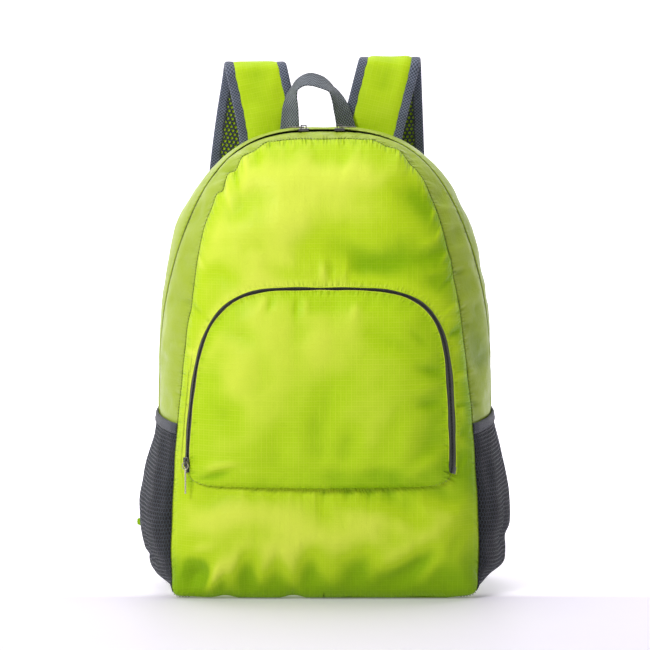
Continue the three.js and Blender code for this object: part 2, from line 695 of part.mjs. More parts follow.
function addBody() {
  piece('front_panel', LIME, crownedPanel(FRONT_OUTLINE, frontDepth, FRONT_RINGS));
  piece('back_panel', LIME_GUSSET, crownedPanel(BACK_OUTLINE, backDepth, BACK_RINGS));
  const edge = (angle) => acrossShare(angle, SEAM_GAP / 2);
  piece('front_gusset', LIME_GUSSET, bandStrip(
    BAND_ANGLES, FRONT_GUSSET_ROWS, edge, (angle) => zipPlace(angle) - zipOpening(angle),
  ));
  piece('back_gusset', LIME_GUSSET, bandStrip(
    BAND_ANGLES, BACK_GUSSET_ROWS, (angle) => zipPlace(angle) + zipOpening(angle), (angle) => 1 - edge(angle),
  ));
  const half = (angle) => acrossShare(angle, ZIP_WIDTH / 2);
  piece('main_zip', ZIP_GREY, bandStrip(
    ZIP_ANGLES, 1, (angle) => zipPlace(angle) - half(angle), (angle) => zipPlace(angle) + half(angle),
  ));
  piece('base_panel', LIME, basePanel());
}

function basePanel() {
  const point = (row, column) => {
    const angle = BASE_ANGLES[column];
    const rim = acrossShare(angle, SEAM_GAP / 2);
    const across = mix(rim, 1 - rim, row / BASE_ROWS);
    const ground = bandPoint(angle, across);
    if (column === 0) ground.x += SEAM_GAP;
    if (column === BASE_STEPS) ground.x -= SEAM_GAP;
    return ground;
  };
  const inner = (row, column) => {
    const ground = point(row, column);
    return moved(ground, outward(ground), -CLOTH);
  };
  return wall(BASE_ROWS, BASE_STEPS, point, inner);
}

// A slider on the main zip at a given distance from the middle, with its pull lying outwards
function addMainSlider(name, x) {
  const angle = Math.atan2(BAG_HEIGHT - WIDEST_HEIGHT, x);
  const place = bandPoint(angle, zipPlace(angle));
  const out = outward(place);
  const along = new THREE.Vector3(Math.sign(x), 0, 0);
  const group = seatedGroup(moved(place, out, SEAM_GAP), along, out);
  piece(`main_slider_${name}`, SILVER, slider(), group);
  piece(`main_pull_${name}`, SILVER, pull(MAIN_PULL_LENGTH), group);
}

function addPocket() {
  piece('pocket_face', LIME, pocketFace());
  piece('pocket_zip', ZIP_GREY, pocketZip());
  const angle = POCKET_ZIP_ANGLES[POCKET_ZIP_ANGLES.length - 1];
  const end = outlinePoint(POCKET_OUTLINE, angle);
  const place = overFront(end.x - SLIDER_WIDTH / 6, end.z + SLIDER_LENGTH, POCKET_SEAT + POCKET_SLIDER_LIFT);
  const out = outward(place).setZ(0).normalize();
  const group = seatedGroup(place, new THREE.Vector3(0, 0, -1), out);
  piece('pocket_slider', SILVER, slider(), group);
  piece('pocket_pull', SILVER, pull(POCKET_PULL_LENGTH), group);
}

// The ladder lock at the strap's tip: a frame with one cross bar, in the webbing's own frame
function adjuster() {
  const slotHalf = WEBBING_WIDTH / 2 + WEBBING_PLAY;
  const half = slotHalf + ADJUSTER_RIM - WEBBING_PLAY;
  const slot = (low, high) => toManifold(block(
    [-slotHalf, -ADJUSTER_THICKNESS, low], [slotHalf, ADJUSTER_THICKNESS, high],
  ));
  const middle = ADJUSTER_HEIGHT / 2;
  const body = toManifold(block(
    [-half, -ADJUSTER_THICKNESS / 2, 0], [half, ADJUSTER_THICKNESS / 2, ADJUSTER_HEIGHT],
  ));
  const low = slot(ADJUSTER_BAR, middle - ADJUSTER_BAR / 2);
  const high = slot(middle + ADJUSTER_BAR / 2, ADJUSTER_HEIGHT - ADJUSTER_BAR);
  return fromManifold(body.subtract(low).subtract(high));
}

// The strap, its net and its two bindings
function addStrap(name, side, frames) {
  const facing = STRAP_WIDTH - 2 * STRAP_EDGE_WIDTH - 2 * SEAM_GAP;
  const netThrough = -(STRAP_PADDING + NET_THICKNESS) / 2 - SEAM_GAP;
  const edgeThickness = STRAP_PADDING + NET_THICKNESS + SEAM_GAP + STRAP_EDGE_OVERLAP;
  const edgeThrough = -(NET_THICKNESS + SEAM_GAP) / 2;
  piece(`strap_${name}`, LIME, bar(frames, facing, STRAP_PADDING));
  piece(`strap_net_${name}`, NET, bar(frames, facing, NET_THICKNESS, 0, netThrough));
  [['inner', -side], ['outer', side]].forEach(([edge, way]) => {
    const sideways = way * (STRAP_WIDTH - STRAP_EDGE_WIDTH) / 2;
    piece(`strap_edge_${edge}_${name}`, SLATE, bar(frames, STRAP_EDGE_WIDTH, edgeThickness, sideways, edgeThrough));
  });
}

// The adjuster under the strap's tip, the webbing down to the anchor tab, and the tab itself
function addWebbing(name, side, tip) {
  const level = new THREE.Vector3(0, 1, 0);
  const up = new THREE.Vector3().crossVectors(tip.wide, tip.thick).normalize();
  if (up.z < 0) up.negate();
  const lockTop = moved(tip.middle, up, -SEAM_GAP);
  const lock = new THREE.Group();
  lock.setRotationFromMatrix(new THREE.Matrix4().makeBasis(
    tip.wide, new THREE.Vector3().crossVectors(up, tip.wide), up,
  ));
  lock.position.copy(moved(lockTop, up, -ADJUSTER_HEIGHT));
  bag.add(lock);
  piece(`adjuster_${name}`, BLACK_PLASTIC, adjuster(), lock);

  const anchor = anchorFrame(side);
  const clear = ADJUSTER_THICKNESS / 2 + WEBBING_THICKNESS / 2 + SEAM_GAP;
  const start = moved(moved(lockTop, up, -ADJUSTER_HEIGHT / 3), level, clear);
  const end = moved(anchor.tip, level, clear + ANCHOR_THICKNESS);
  const slack = new THREE.Vector3().lerpVectors(start, end, 0.6);
  slack.add(new THREE.Vector3(0, WEBBING_SAG, -WEBBING_SAG));
  const curve = new THREE.CatmullRomCurve3(
    [start, moved(start, up, -ADJUSTER_HEIGHT), slack, end], false, 'centripetal',
  );
  const line = Array.from({ length: WEBBING_STEPS + 1 }, (_, step) => {
    const forward = curve.getTangentAt(step / WEBBING_STEPS);
    const thick = level.clone().addScaledVector(forward, -forward.y).normalize();
    const middle = curve.getPointAt(step / WEBBING_STEPS);
    return { middle, wide: new THREE.Vector3().crossVectors(forward, thick), thick };
  });
  piece(`webbing_${name}`, SLATE, bar(line, WEBBING_WIDTH, WEBBING_THICKNESS));
  piece(`anchor_${name}`, LIME, anchorTab(anchor, side));
}

// Where the anchor tab leaves the back seam, and the middle of its webbing end
function anchorFrame(side) {
  const seam = bandPoint(angleAtHeight(ANCHOR_HEIGHT, 1, side), 1);
  const root = moved(seam, new THREE.Vector3(0, 1, 0), ANCHOR_THICKNESS / 2 + CLOTH + ANCHOR_STANDOFF);
  const out = new THREE.Vector3(side, 0.35, 0).normalize();
  return { root, out, tip: moved(root, out, ANCHOR_LENGTH / 2) };
}

function anchorTab({ root, out }, side) {
  const wide = new THREE.Vector3(0, 0, 1);
  const thick = new THREE.Vector3().crossVectors(out, wide).normalize();
  const corners = [];
  [[-ANCHOR_HEM, ANCHOR_WIDTH / 2], [ANCHOR_LENGTH, ANCHOR_WIDTH / 8]].forEach(([reach, half]) => {
    [[-1, -1], [1, -1], [1, 1], [-1, 1]].forEach(([a, b]) => {
      const corner = moved(moved(root, out, reach), wide, a * half);
      corners.push(moved(corner, thick, b * ANCHOR_THICKNESS / 2 * side));
    });
  });
  const triangles = [[0, 2, 1], [0, 3, 2], [4, 5, 6], [4, 6, 7]];
  for (let edge = 0; edge < 4; edge += 1) {
    const next = (edge + 1) % 4;
    triangles.push([edge, next, next + 4], [edge, next + 4, edge + 4]);
  }
  return solid(corners, triangles);
}

addBody();
addPocket();
addMainSlider('left', LEFT_SLIDER_PLACE);
addMainSlider('right', RIGHT_SLIDER_PLACE);
[['left', -1], ['right', 1]].forEach(([name, side]) => {
  piece(`side_net_${name}`, NET, sideNet(side));
  piece(`side_band_${name}`, SLATE, sideBand(side));
  const frames = strapFrames(side);
  addStrap(name, side, frames);
  addWebbing(name, side, frames[frames.length - 1]);
});
piece('haul_loop', SLATE, bar(haulFrames(), HAUL_WIDTH, HAUL_THICKNESS));

export default bag;
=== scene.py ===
"""The looks of the packable backpack: fine cloth, zips, nets, straps and webbing round the CAD frame."""

import bmesh
import bpy
import numpy as np
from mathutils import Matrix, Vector


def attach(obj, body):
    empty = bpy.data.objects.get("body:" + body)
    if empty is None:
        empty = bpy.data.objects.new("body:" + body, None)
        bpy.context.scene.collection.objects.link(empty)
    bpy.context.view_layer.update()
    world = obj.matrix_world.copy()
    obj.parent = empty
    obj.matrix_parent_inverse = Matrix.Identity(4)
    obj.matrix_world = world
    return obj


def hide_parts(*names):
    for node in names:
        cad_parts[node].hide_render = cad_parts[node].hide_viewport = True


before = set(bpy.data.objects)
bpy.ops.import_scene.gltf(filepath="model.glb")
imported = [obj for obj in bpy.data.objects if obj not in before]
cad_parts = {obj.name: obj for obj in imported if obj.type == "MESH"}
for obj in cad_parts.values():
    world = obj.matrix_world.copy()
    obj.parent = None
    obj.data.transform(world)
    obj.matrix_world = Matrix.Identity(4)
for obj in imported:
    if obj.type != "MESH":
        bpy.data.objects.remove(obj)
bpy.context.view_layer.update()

MM = 0.001

# Body of the bag, in millimetres
BAG_WIDTH = 300.0
BAG_HEIGHT = 414.0
WIDEST_HEIGHT = 180.0
BASE_DEPTH = 124.0
FRONT_LEAN = 26.0
BACK_LEAN = 15.0
FRONT_BULGE = 33.0
BACK_BULGE = 11.0
BASE_WIDTH = 232.0
FOLD_DEPTH = 7.0
CLOTH = 1.4
PANEL_THICKNESS = 0.5
GAP = 0.3

FRONT_OUTLINE = dict(
    half_width=136.5, shift=0.0, base=0.0, middle=180.0, top=405.0, taper=0.33, round_top=4.4, round_base=16.0
)
SIDE_OUTLINE = dict(
    half_width=150.0, shift=0.0, base=0.0, middle=180.0, top=414.0, taper=0.024, round_top=2.65,
    round_base=11.0
)
BACK_OUTLINE = dict(
    half_width=139.0, shift=0.0, base=0.0, middle=180.0, top=402.0, taper=0.24, round_top=3.3, round_base=14.0
)

# Main zip, front pocket and side pockets
ZIP_PLACE_LOW = 0.42
ZIP_PLACE_TOP = 0.22
ZIP_FOOT_HEIGHT = 178.0
POCKET_BASE_HEIGHT = 104.0
POCKET_HEIGHT = 172.0
POCKET_ZIP_WIDTH = 6.5
POCKET_ZIP_END = 10.0
POCKET_SEAT = CLOTH + 1.2
POCKET_PUFF = 9.6
POCKET_OUTLINE = dict(
    half_width=136.5 - 17.5 - POCKET_ZIP_WIDTH / 2, shift=-4.5, base=POCKET_BASE_HEIGHT,
    middle=POCKET_BASE_HEIGHT + POCKET_HEIGHT * 0.4, top=POCKET_BASE_HEIGHT + POCKET_HEIGHT,
    taper=0.20, taper_right=0.09, round_top=4.2, round_base=12.0,
)
NET_FOOT_HEIGHT = 7.0
NET_HEIGHT = 148.0
NET_RISE = 12.0
NET_BULGE = 17.0
NET_SEAT = 0.8
NET_THICKNESS = 1.2
BAND_HEIGHT = 9.0

# Straps and haul loop
STRAP_WIDTH = 56.0
STRAP_PADDING = 3.6
STRAP_EDGE_WIDTH = 9.0
STRAP_TOPS = {-1: 471.0, 1: 475.5}
HAUL_WIDTH = 21.0
HAUL_THICKNESS = 1.8
HAUL_SPAN = 53.0
HAUL_SHIFT = -6.5
HAUL_TURN = 57.0
HAUL_HEIGHT = 54.0

# Broad folds of the front, as in the solids: place and size as shares of the bag's width and height,
# turn in degrees, lift as a share of FOLD_DEPTH
BROAD_FOLDS = np.array([
    # x, z, long, broad, turn, lift
    [-0.80, 0.07, 0.10, 0.055, 60, -1.3],
    [0.05, 0.12, 0.42, 0.09, 0, 0.8],
    [0.00, 0.235, 0.60, 0.060, 0, -0.4],
    [0.80, 0.30, 0.10, 0.03, -38, -0.7],
    [-0.45, 0.78, 0.20, 0.06, 20, 0.5],
    [0.15, 0.74, 0.30, 0.06, -6, -0.6],
    [0.10, 0.90, 0.35, 0.04, 2, 0.5],
    [0.55, 0.84, 0.14, 0.05, -50, -0.6],
])

# Smaller folds of the front cloth: place, half length, half breadth and lift in millimetres, turn in degrees
FINE_FOLDS = np.array([
    # x, z, long, broad, turn, lift
    [113, 248, 13, 3.2, 16, 2.0],
    [114, 236, 12, 3.6, 20, -2.8],
    [116, 222, 11, 3.0, 26, 1.8],
    [118, 203, 10, 3.0, 30, -1.8],
    [121, 170, 10, 3.0, 35, 1.5],
    [122, 150, 10, 3.2, 40, -2.0],
    [124, 122, 14, 3.2, 50, 2.0],
    [17, 396, 16, 5, 82, -1.6],
    [26, 390, 20, 5, 70, 1.2],
    [-18, 392, 14, 6, 95, 0.9],
    [52, 388, 18, 6, 60, -1.2],
    [70, 372, 26, 8, -55, 1.4],
    [84, 352, 22, 7, -60, -1.5],
    [-62, 384, 14, 5, 40, -1.6],
    [-70, 366, 18, 6, 55, 1.3],
    [-92, 330, 26, 6, 72, 1.0],
    [96, 318, 14, 4, 25, 1.2],
    [101, 306, 14, 4, 20, -1.3],
    [106, 292, 16, 4, 14, 1.1],
    [-2, 290, 10, 3.5, 88, 1.3],
    [6, 289, 9, 3, 96, -1.3],
    [18, 291, 9, 3, 84, 1.0],
    [40, 296, 30, 6, 8, -0.9],
    [-40, 300, 34, 8, -8, 0.8],
    [121, 164, 12, 4, -42, 1.5],
    [117, 150, 14, 4, -38, -1.6],
    [122, 138, 13, 4, -40, 1.4],
    [112, 122, 18, 5, -46, -1.7],
    [102, 108, 18, 5, -40, 1.2],
    [-128, 118, 10, 5, 85, 1.2],
    [-118, 106, 9, 4, 80, -2.6],
    [-88, 76, 34, 14, 18, 1.6],
    [-42, 66, 40, 16, 8, -1.0],
    [-112, 46, 18, 6, 20, 2.2],
    [-113, 20, 12, 8, 52, -9.0],
    [-128, 24, 15, 4, 80, 2.4],
    [-98, 20, 16, 5, 68, 4.8],
    [-92, 12, 12, 5, 70, -3.0],
    [-84, 30, 24, 7, 62, 2.4],
    [-68, 16, 16, 8, 96, -3.2],
    [-54, 28, 20, 7, 74, 2.6],
    [-28, 24, 20, 7, 98, 2.4],
    [-14, 26, 20, 8, 80, -2.2],
    [8, 16, 16, 8, 100, 1.2],
    [30, 20, 16, 8, 70, -1.2],
    [60, 40, 34, 8, 32, 1.8],
    [76, 28, 26, 7, 38, -2.0],
    [96, 34, 24, 7, 52, 1.8],
    [112, 52, 24, 7, 60, -1.4],
    [40, 76, 40, 12, -6, 1.0],
    [96, 84, 30, 10, -28, 1.2],
])

# Short tucks that hang below the pocket's lower seam: place across, half breadth, lift
HANGING_TUCKS = np.array([
    [-72, 2.4, 1.3], [-63, 2.0, -1.2], [-55, 2.6, 1.2], [-44, 2.2, -1.0], [-30, 2.6, 1.1], [-19, 2.0, -1.2],
    [-9, 2.2, 1.4], [-1, 1.8, -1.4], [7, 2.4, 1.1], [19, 2.4, -1.1], [28, 2.6, 1.2], [38, 2.0, -1.1],
    [47, 2.4, 1.2], [56, 2.2, -1.2], [65, 2.6, 1.0], [78, 2.6, -0.8],
])

# Jogs of the front seam: a point on it, half length along it, shift outwards
SEAM_JOGS = np.array([
    # x, z, long, out
    [-105, 326, 38, 5.0],
    [-97, 357, 7, 2.4],
    [-92, 366, 4, -3.2],
    [-86, 376, 4.5, 2.6],
    [-80, 384, 4, -2.6],
    [-73, 391, 4, 2.0],
    [-62, 396, 5, -1.8],
    [-50, 399, 4, 1.2],
    [-128, 240, 10, 0.8],
    [-124, 262, 6, -0.8],
    [40, 403, 5, 1.0],
    [54, 401, 5, -1.8],
    [66, 396, 5, 1.6],
    [76, 388, 5, -1.6],
    [88, 372, 6, 1.0],
    [112, 300, 4, 1.0],
    [115, 284, 5, -0.8],
    [-133, 5, 9, 5.0],
    [134, 5, 9, 3.5],
    [-89, 0, 8, -3.0],
    [-28, 0, 7, -2.6],
    [20, 0, 12, -0.8],
    [92, 0, 14, -1.0],
])

# Tucks across the front seam: a point on it, half breadth, reach on the panel, reach on the gusset, lift
SEAM_TUCKS = np.array([
    # x, z, broad, panel, gusset, lift
    [-88, 366, 4.0, 14, 12, 1.8],
    [-80, 380, 3.5, 12, 12, -2.0],
    [-70, 390, 3.5, 12, 12, 2.0],
    [-60, 396, 3.0, 10, 10, -1.6],
    [98, 346, 2.6, 8, 16, 1.7],
    [104, 331, 2.6, 8, 16, 1.7],
    [110, 309, 2.8, 8, 16, 1.8],
    [114, 288, 3.0, 10, 12, -1.4],
    [118, 262, 3.0, 16, 10, 1.4],
    [120, 240, 3.0, 14, 8, -1.4],
    [-112, 300, 3.0, 8, 14, 1.2],
    [-120, 262, 3.4, 14, 12, -1.3],
    [-126, 222, 3.4, 14, 10, 1.2],
    [-131, 180, 3.4, 12, 8, -1.1],
    [128, 200, 3.0, 14, 8, 1.3],
    [131, 172, 3.0, 14, 8, -1.2],
])

# Folds of the pocket's cloth, in millimetres and degrees
POCKET_FOLDS = np.array([
    # x, z, long, broad, turn, lift
    [-54, 264, 9, 3.2, 70, 1.3],
    [-47, 263, 8, 3.0, 74, -1.2],
    [-24, 262, 12, 3.4, 84, -1.5],
    [-16, 264, 9, 3.0, 88, 1.2],
    [-4, 252, 26, 8, 4, 0.9],
    [26, 258, 9, 4, 80, 1.0],
    [68, 246, 16, 4, -40, 1.3],
    [76, 238, 16, 4, -44, -1.4],
    [60, 228, 30, 8, -36, -0.8],
    [92, 205, 14, 5, -8, -1.6],
    [90, 190, 14, 5, 10, 1.2],
    [94, 176, 13, 5, 6, -1.6],
    [-96, 226, 14, 5, 66, 1.0],
    [-70, 200, 50, 18, 72, 1.2],
    [10, 190, 60, 16, 62, -1.0],
    [50, 170, 50, 14, 70, 0.9],
    [-92, 122, 18, 4.5, 14, 2.0],
    [-98, 113, 16, 3.5, 18, -2.4],
    [-60, 118, 26, 5, -4, 1.2],
    [20, 124, 60, 8, 0, 1.4],
    [88, 124, 20, 6, 30, 1.4],
])

# The strap's middle line: out as a share of half the bag's width for the left and the right strap,
# back as a share of the strap's width, up as a share of the way to the strap's top or down to the floor
STRAP_ROUTE = np.array([
    # left out, right out, back, up
    [0.320, 0.255, 0.20, -0.045],
    [0.352, 0.305, 0.22, 0.25],
    [0.405, 0.372, 0.27, 0.80],
    [0.421, 0.391, 0.335, 0.95],
    [0.429, 0.398, 0.475, 1.00],
    [0.436, 0.403, 0.615, 0.95],
    [0.445, 0.407, 0.68, 0.80],
    [0.490, 0.420, 0.78, 0.20],
    [0.530, 0.435, 0.84, -0.08],
    [0.575, 0.480, 0.86, -0.25],
    [0.610, 0.540, 0.86, -0.45],
    [0.650, 0.610, 0.80, -0.66],
])

# The haul loop's middle line: along as a share of HAUL_SPAN, up as a share of HAUL_HEIGHT
HAUL_ROUTE = np.array([
    [0.00, 0.00], [0.017, 0.18], [0.029, 0.515], [0.055, 0.72], [0.11, 0.86], [0.22, 0.96], [0.36, 1.00],
    [0.56, 0.95], [0.745, 0.82], [0.84, 0.67], [0.90, 0.515], [0.97, 0.25], [1.00, 0.00],
])


# The loop's twist beyond its turn: share of its length, degrees
HAUL_TWIST = np.array([
    [0.0, -27], [0.075, -21], [0.21, -10], [0.29, 6], [0.35, 17], [0.41, 9], [0.48, 0],
    [0.56, 3], [0.64, 17], [0.70, 6], [0.78, -8], [0.90, -19], [1.0, -25],
])


def narrowing(outline, z, side):
    """1 at the base, less the taper times the square of the share of the height; the right may have its own taper."""
    share = (z - outline["base"]) / (outline["top"] - outline["base"])
    taper = np.where(side > 0, outline.get("taper_right", outline["taper"]), outline["taper"])
    return 1 - taper * share**2


def outline_point(outline, angle, share=1.0, extra=0.0):
    """Superellipse radius at an angle round the outline's middle, times a share, plus an extra; x is then narrowed."""
    sine, cosine = np.sin(angle), np.cos(angle)
    power = np.where(sine > 0, outline["round_top"], outline["round_base"])
    reach = np.where(sine > 0, outline["top"] - outline["middle"], outline["middle"] - outline["base"])
    total = np.abs(cosine / outline["half_width"]) ** power + np.abs(sine / reach) ** power
    radius = share * total ** (-1 / power) + extra
    z = outline["middle"] + radius * sine
    return outline["shift"] + radius * cosine * narrowing(outline, z, cosine), z, radius


def outline_share(outline, x, z):
    """How far out a point lies: 0 in the middle of the outline, 1 on it."""
    above = z > outline["middle"]
    power = np.where(above, outline["round_top"], outline["round_base"])
    reach = np.where(above, outline["top"] - outline["middle"], outline["middle"] - outline["base"])
    out = x - outline["shift"]
    wide = np.abs(out / narrowing(outline, z, out) / outline["half_width"])
    high = np.abs((z - outline["middle"]) / reach)
    return (wide**power + high**power) ** (1 / power)


def outline_angle(outline, x, z):
    """The angle round the outline's middle at which a point lies."""
    out = x - outline["shift"]
    return np.arctan2(z - outline["middle"], out / narrowing(outline, z, out))


def seam_depth(z, lean):
    """Half the base's depth, less a lean that grows with the 2.2th power of the height."""
    return BASE_DEPTH / 2 - lean * np.maximum(0, z / BAG_HEIGHT) ** 2.2


def crown(outline, x, z, share):
    """Nothing at the seam, steep inside it and flat in the middle, a little lower to the sides and the top."""
    wide = (x - outline["shift"]) / outline["half_width"]
    high = (z - outline["middle"]) / (outline["top"] - outline["middle"])
    return (1 - np.minimum(1, share) ** 5) ** 0.6 * (1 - 0.22 * wide**2 - 0.16 * high**2)


def fold_sum(folds, x, z):
    """The sum of long Gaussian mounds: exp(-along^2 - over^2) times each one's lift."""
    total = np.zeros(np.broadcast(x, z).shape)
    for fx, fz, long, broad, turn, lift in folds:
        turn = np.radians(turn)
        dx, dz = x - fx, z - fz
        along = (dx * np.cos(turn) + dz * np.sin(turn)) / long
        over = (dz * np.cos(turn) - dx * np.sin(turn)) / broad
        total += lift * np.exp(-(along**2) - over**2)
    return total


BROAD = BROAD_FOLDS * [BAG_WIDTH / 2, BAG_HEIGHT, BAG_WIDTH, BAG_WIDTH, 1, FOLD_DEPTH]


def ripples(u, v, size, seed, turn=0.0, stretch=1.0):
    """Uneven ripples from -1 to 1: twelve sine waves of about one wavelength, seeded directions and phases."""
    draw = np.random.default_rng(seed)
    turn = np.radians(turn)
    a = u * np.cos(turn) + v * np.sin(turn)
    b = (v * np.cos(turn) - u * np.sin(turn)) * stretch
    total = np.zeros(np.broadcast(u, v).shape)
    for _ in range(12):
        way, phase = draw.uniform(0, 2 * np.pi, 2)
        wave = 2 * np.pi / (size * draw.uniform(0.6, 1.7))
        total += np.sin(wave * (a * np.cos(way) + b * np.sin(way)) + phase)
    return total / 4.5


def front_depth(x, z, share=None):
    """Depth of the front cloth without its fine folds: the seam's depth, the crowned bulge and the broad folds."""
    if share is None:
        share = np.minimum(1, outline_share(FRONT_OUTLINE, x, z))
    folds = fold_sum(BROAD, x, z) * (1 - np.minimum(1, share) ** 6)
    return -seam_depth(z, FRONT_LEAN) - FRONT_BULGE * crown(FRONT_OUTLINE, x, z, share) - folds


def outward(points):
    """The slope of a rounded box round the bag: the cube of each share of its half size, over that half size."""
    half = np.array([BAG_WIDTH / 2, BASE_DEPTH / 2 + FRONT_BULGE / 2, BAG_HEIGHT / 2])
    centred = points - np.array([0, 0, BAG_HEIGHT / 2])
    slope = np.abs(centred / half) ** 3 / half * np.sign(centred)
    return slope / np.linalg.norm(slope, axis=-1, keepdims=True)


FOOT_ANGLE = np.arctan2(WIDEST_HEIGHT, BASE_WIDTH / 2)
LINE_ANGLES = np.linspace(-np.pi / 2, 1.5 * np.pi, 6001)
LINE_X, LINE_Z, _ = outline_point(FRONT_OUTLINE, LINE_ANGLES)
LINE_LENGTHS = np.concatenate([[0], np.cumsum(np.hypot(np.diff(LINE_X), np.diff(LINE_Z)))])


def seam_length(angle):
    """Length along the front seam from the middle of the underside, going up the right side."""
    return np.interp(angle, LINE_ANGLES, LINE_LENGTHS)


def seam_place(x, z):
    """Length along the front seam at the point nearest to x, z."""
    angle = outline_angle(FRONT_OUTLINE, x, np.asarray(z, float))
    return seam_length(np.where(angle < -np.pi / 2, angle + 2 * np.pi, angle))


def seam_jog(angle):
    """How far the front seam strays outwards: Gaussian jogs along its length and a slight waver."""
    place = seam_length(angle)
    total = 0.35 * np.sin(place / 9.0) * np.sin(place / 23.0 + 1)
    for x, z, long, out in SEAM_JOGS:
        total = total + out * np.exp(-(((place - seam_place(x, z)) / long) ** 2))
    return total


def seam_puckers(angle, away, on_panel):
    """Puckers beside the front seam: nothing on it, highest a few millimetres away, fading further out."""
    place = seam_length(angle)
    top = np.exp(-(((place - seam_place(5.0, 405.0)) / 120) ** 2))
    reach = 3.6 if on_panel else 5.0
    near = away / reach * np.exp(1 - away / reach)
    waver = np.sin(place / 1.7 + 1.9 * np.sin(place / 8.3)) * (0.22 + 0.42 * top)
    waver = waver * (0.6 + 0.4 * np.sin(place / 6.1 + 2))
    crumple = ripples(
        place + 0 * away, away * 1.0, 6.5, 43, 35, 0.7
    ) * np.exp(-((away / 12) ** 2)) * (1 - np.exp(-((away / 1.5) ** 2)))
    total = waver * near + crumple * 0.55 * top
    for x, z, broad, panel, gusset, lift in SEAM_TUCKS:
        reach = (panel if on_panel else gusset) / 2
        across = np.exp(-(((place - seam_place(x, z)) / broad) ** 2))
        total = total + lift * across * away / reach * np.exp(1 - away / reach)
    return total


def band_point(angle, across):
    """A parabola through the front seam, the widest line and the back seam, jogged near the front seam."""
    jog = seam_jog(angle) * np.maximum(0, 1 - across * 6) ** 2
    fx, fz, _ = outline_point(FRONT_OUTLINE, angle, extra=jog)
    sx, sz, _ = outline_point(SIDE_OUTLINE, angle)
    bx, bz, _ = outline_point(BACK_OUTLINE, angle)
    front, side, back = (1 - across) * (1 - 2 * across), 4 * across * (1 - across), across * (2 * across - 1)
    x = front * fx + side * sx + back * bx
    z = front * fz + side * sz + back * bz
    y = -seam_depth(fz, FRONT_LEAN) * (1 - across) + seam_depth(bz, BACK_LEAN) * across
    return np.stack([x, y, np.where(z < GAP, 0, z)], -1)


def band_reach(angle):
    """Length across the band at an angle, from the front seam to the back seam."""
    return np.linalg.norm(
        band_point(angle, np.full_like(angle, 0.5)) - band_point(angle, np.zeros_like(angle)), axis=-1
    ) * 2


def zip_place(angle):
    """The main zip's share of the way across the band."""
    share = np.clip((np.sin(angle) - 0.2) / 0.8, 0, 1)
    return ZIP_PLACE_LOW + (ZIP_PLACE_TOP - ZIP_PLACE_LOW) * share**2 * (3 - 2 * share)


def over_front(x, z, lift):
    """A point set off from the front cloth along the outward direction."""
    ground = np.stack([x, front_depth(x, z), z], -1)
    return ground + outward(ground) * np.asarray(lift)[..., None]


def grid_faces(rows, columns, first=0, joined=False):
    """Quads of a grid of vertices numbered row by row; joined closes it sideways."""
    number = first + np.arange(rows * columns).reshape(rows, columns)
    if joined:
        number = np.concatenate([number, number[:, :1]], 1)
    quads = np.stack([number[:-1, :-1], number[:-1, 1:], number[1:, 1:], number[1:, :-1]], -1)
    return quads.reshape(-1, 4)


def disc_faces(rings, columns):
    """A middle point with triangles round it, then rings of quads."""
    number = np.arange(columns)
    first = np.stack([np.zeros(columns, int), 1 + (number + 1) % columns, 1 + number], -1)
    return [*first.tolist(), *grid_faces(rings, columns, 1, True).tolist()]


def build(
    name, points, faces, finish, body="bag", nodes=(), flat=None, wall=None, centre=(0, 0, 200),
    painted_shading=None, beside=None
):
    """A mesh object from points in millimetres, its faces turned away from the centre or, closed, outwards."""
    points = np.asarray(points, float).reshape(-1, 3)
    faces = faces.tolist() if isinstance(faces, np.ndarray) else faces
    corners = np.array([face[:3] for face in faces])
    a, b, c = (points[corners[:, k]] for k in range(3))
    facing = np.einsum("ij,ij->", np.cross(b - a, c - a), (a + b + c) / 3 - np.array(centre))
    if facing < 0:
        faces = [face[::-1] for face in faces]
    mesh = bpy.data.meshes.new(name)
    mesh.from_pydata((points * MM).tolist(), [], faces)
    mesh.polygons.foreach_set("use_smooth", np.full(len(faces), True))
    if beside is not None:
        attribute = mesh.attributes.new("beside", "FLOAT_VECTOR", "POINT")
        attribute.data.foreach_set("vector", np.asarray(beside, np.float32).ravel())
    if flat is not None:
        layer = mesh.uv_layers.new(name="cloth")
        corner = np.zeros(len(mesh.loops), int)
        mesh.loops.foreach_get("vertex_index", corner)
        layer.data.foreach_set("uv", (np.asarray(flat, float).reshape(-1, 2)[corner] * MM).astype(np.float32).ravel())
    if painted_shading is not None:
        attribute = mesh.attributes.new("painted_shading", "FLOAT", "POINT")
        attribute.data.foreach_set("value", np.asarray(painted_shading, np.float32).ravel())
    mesh.update()
    piece = bpy.data.objects.new(name, mesh)
    bpy.context.scene.collection.objects.link(piece)
    piece.data.materials.append(finish)
    if wall:
        solidify = piece.modifiers.new("wall", "SOLIDIFY")
        solidify.thickness = wall * MM
        solidify.offset = -1
        solidify.use_even_offset = False
    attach(piece, body)
    if nodes:
        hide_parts(*nodes)
    return piece


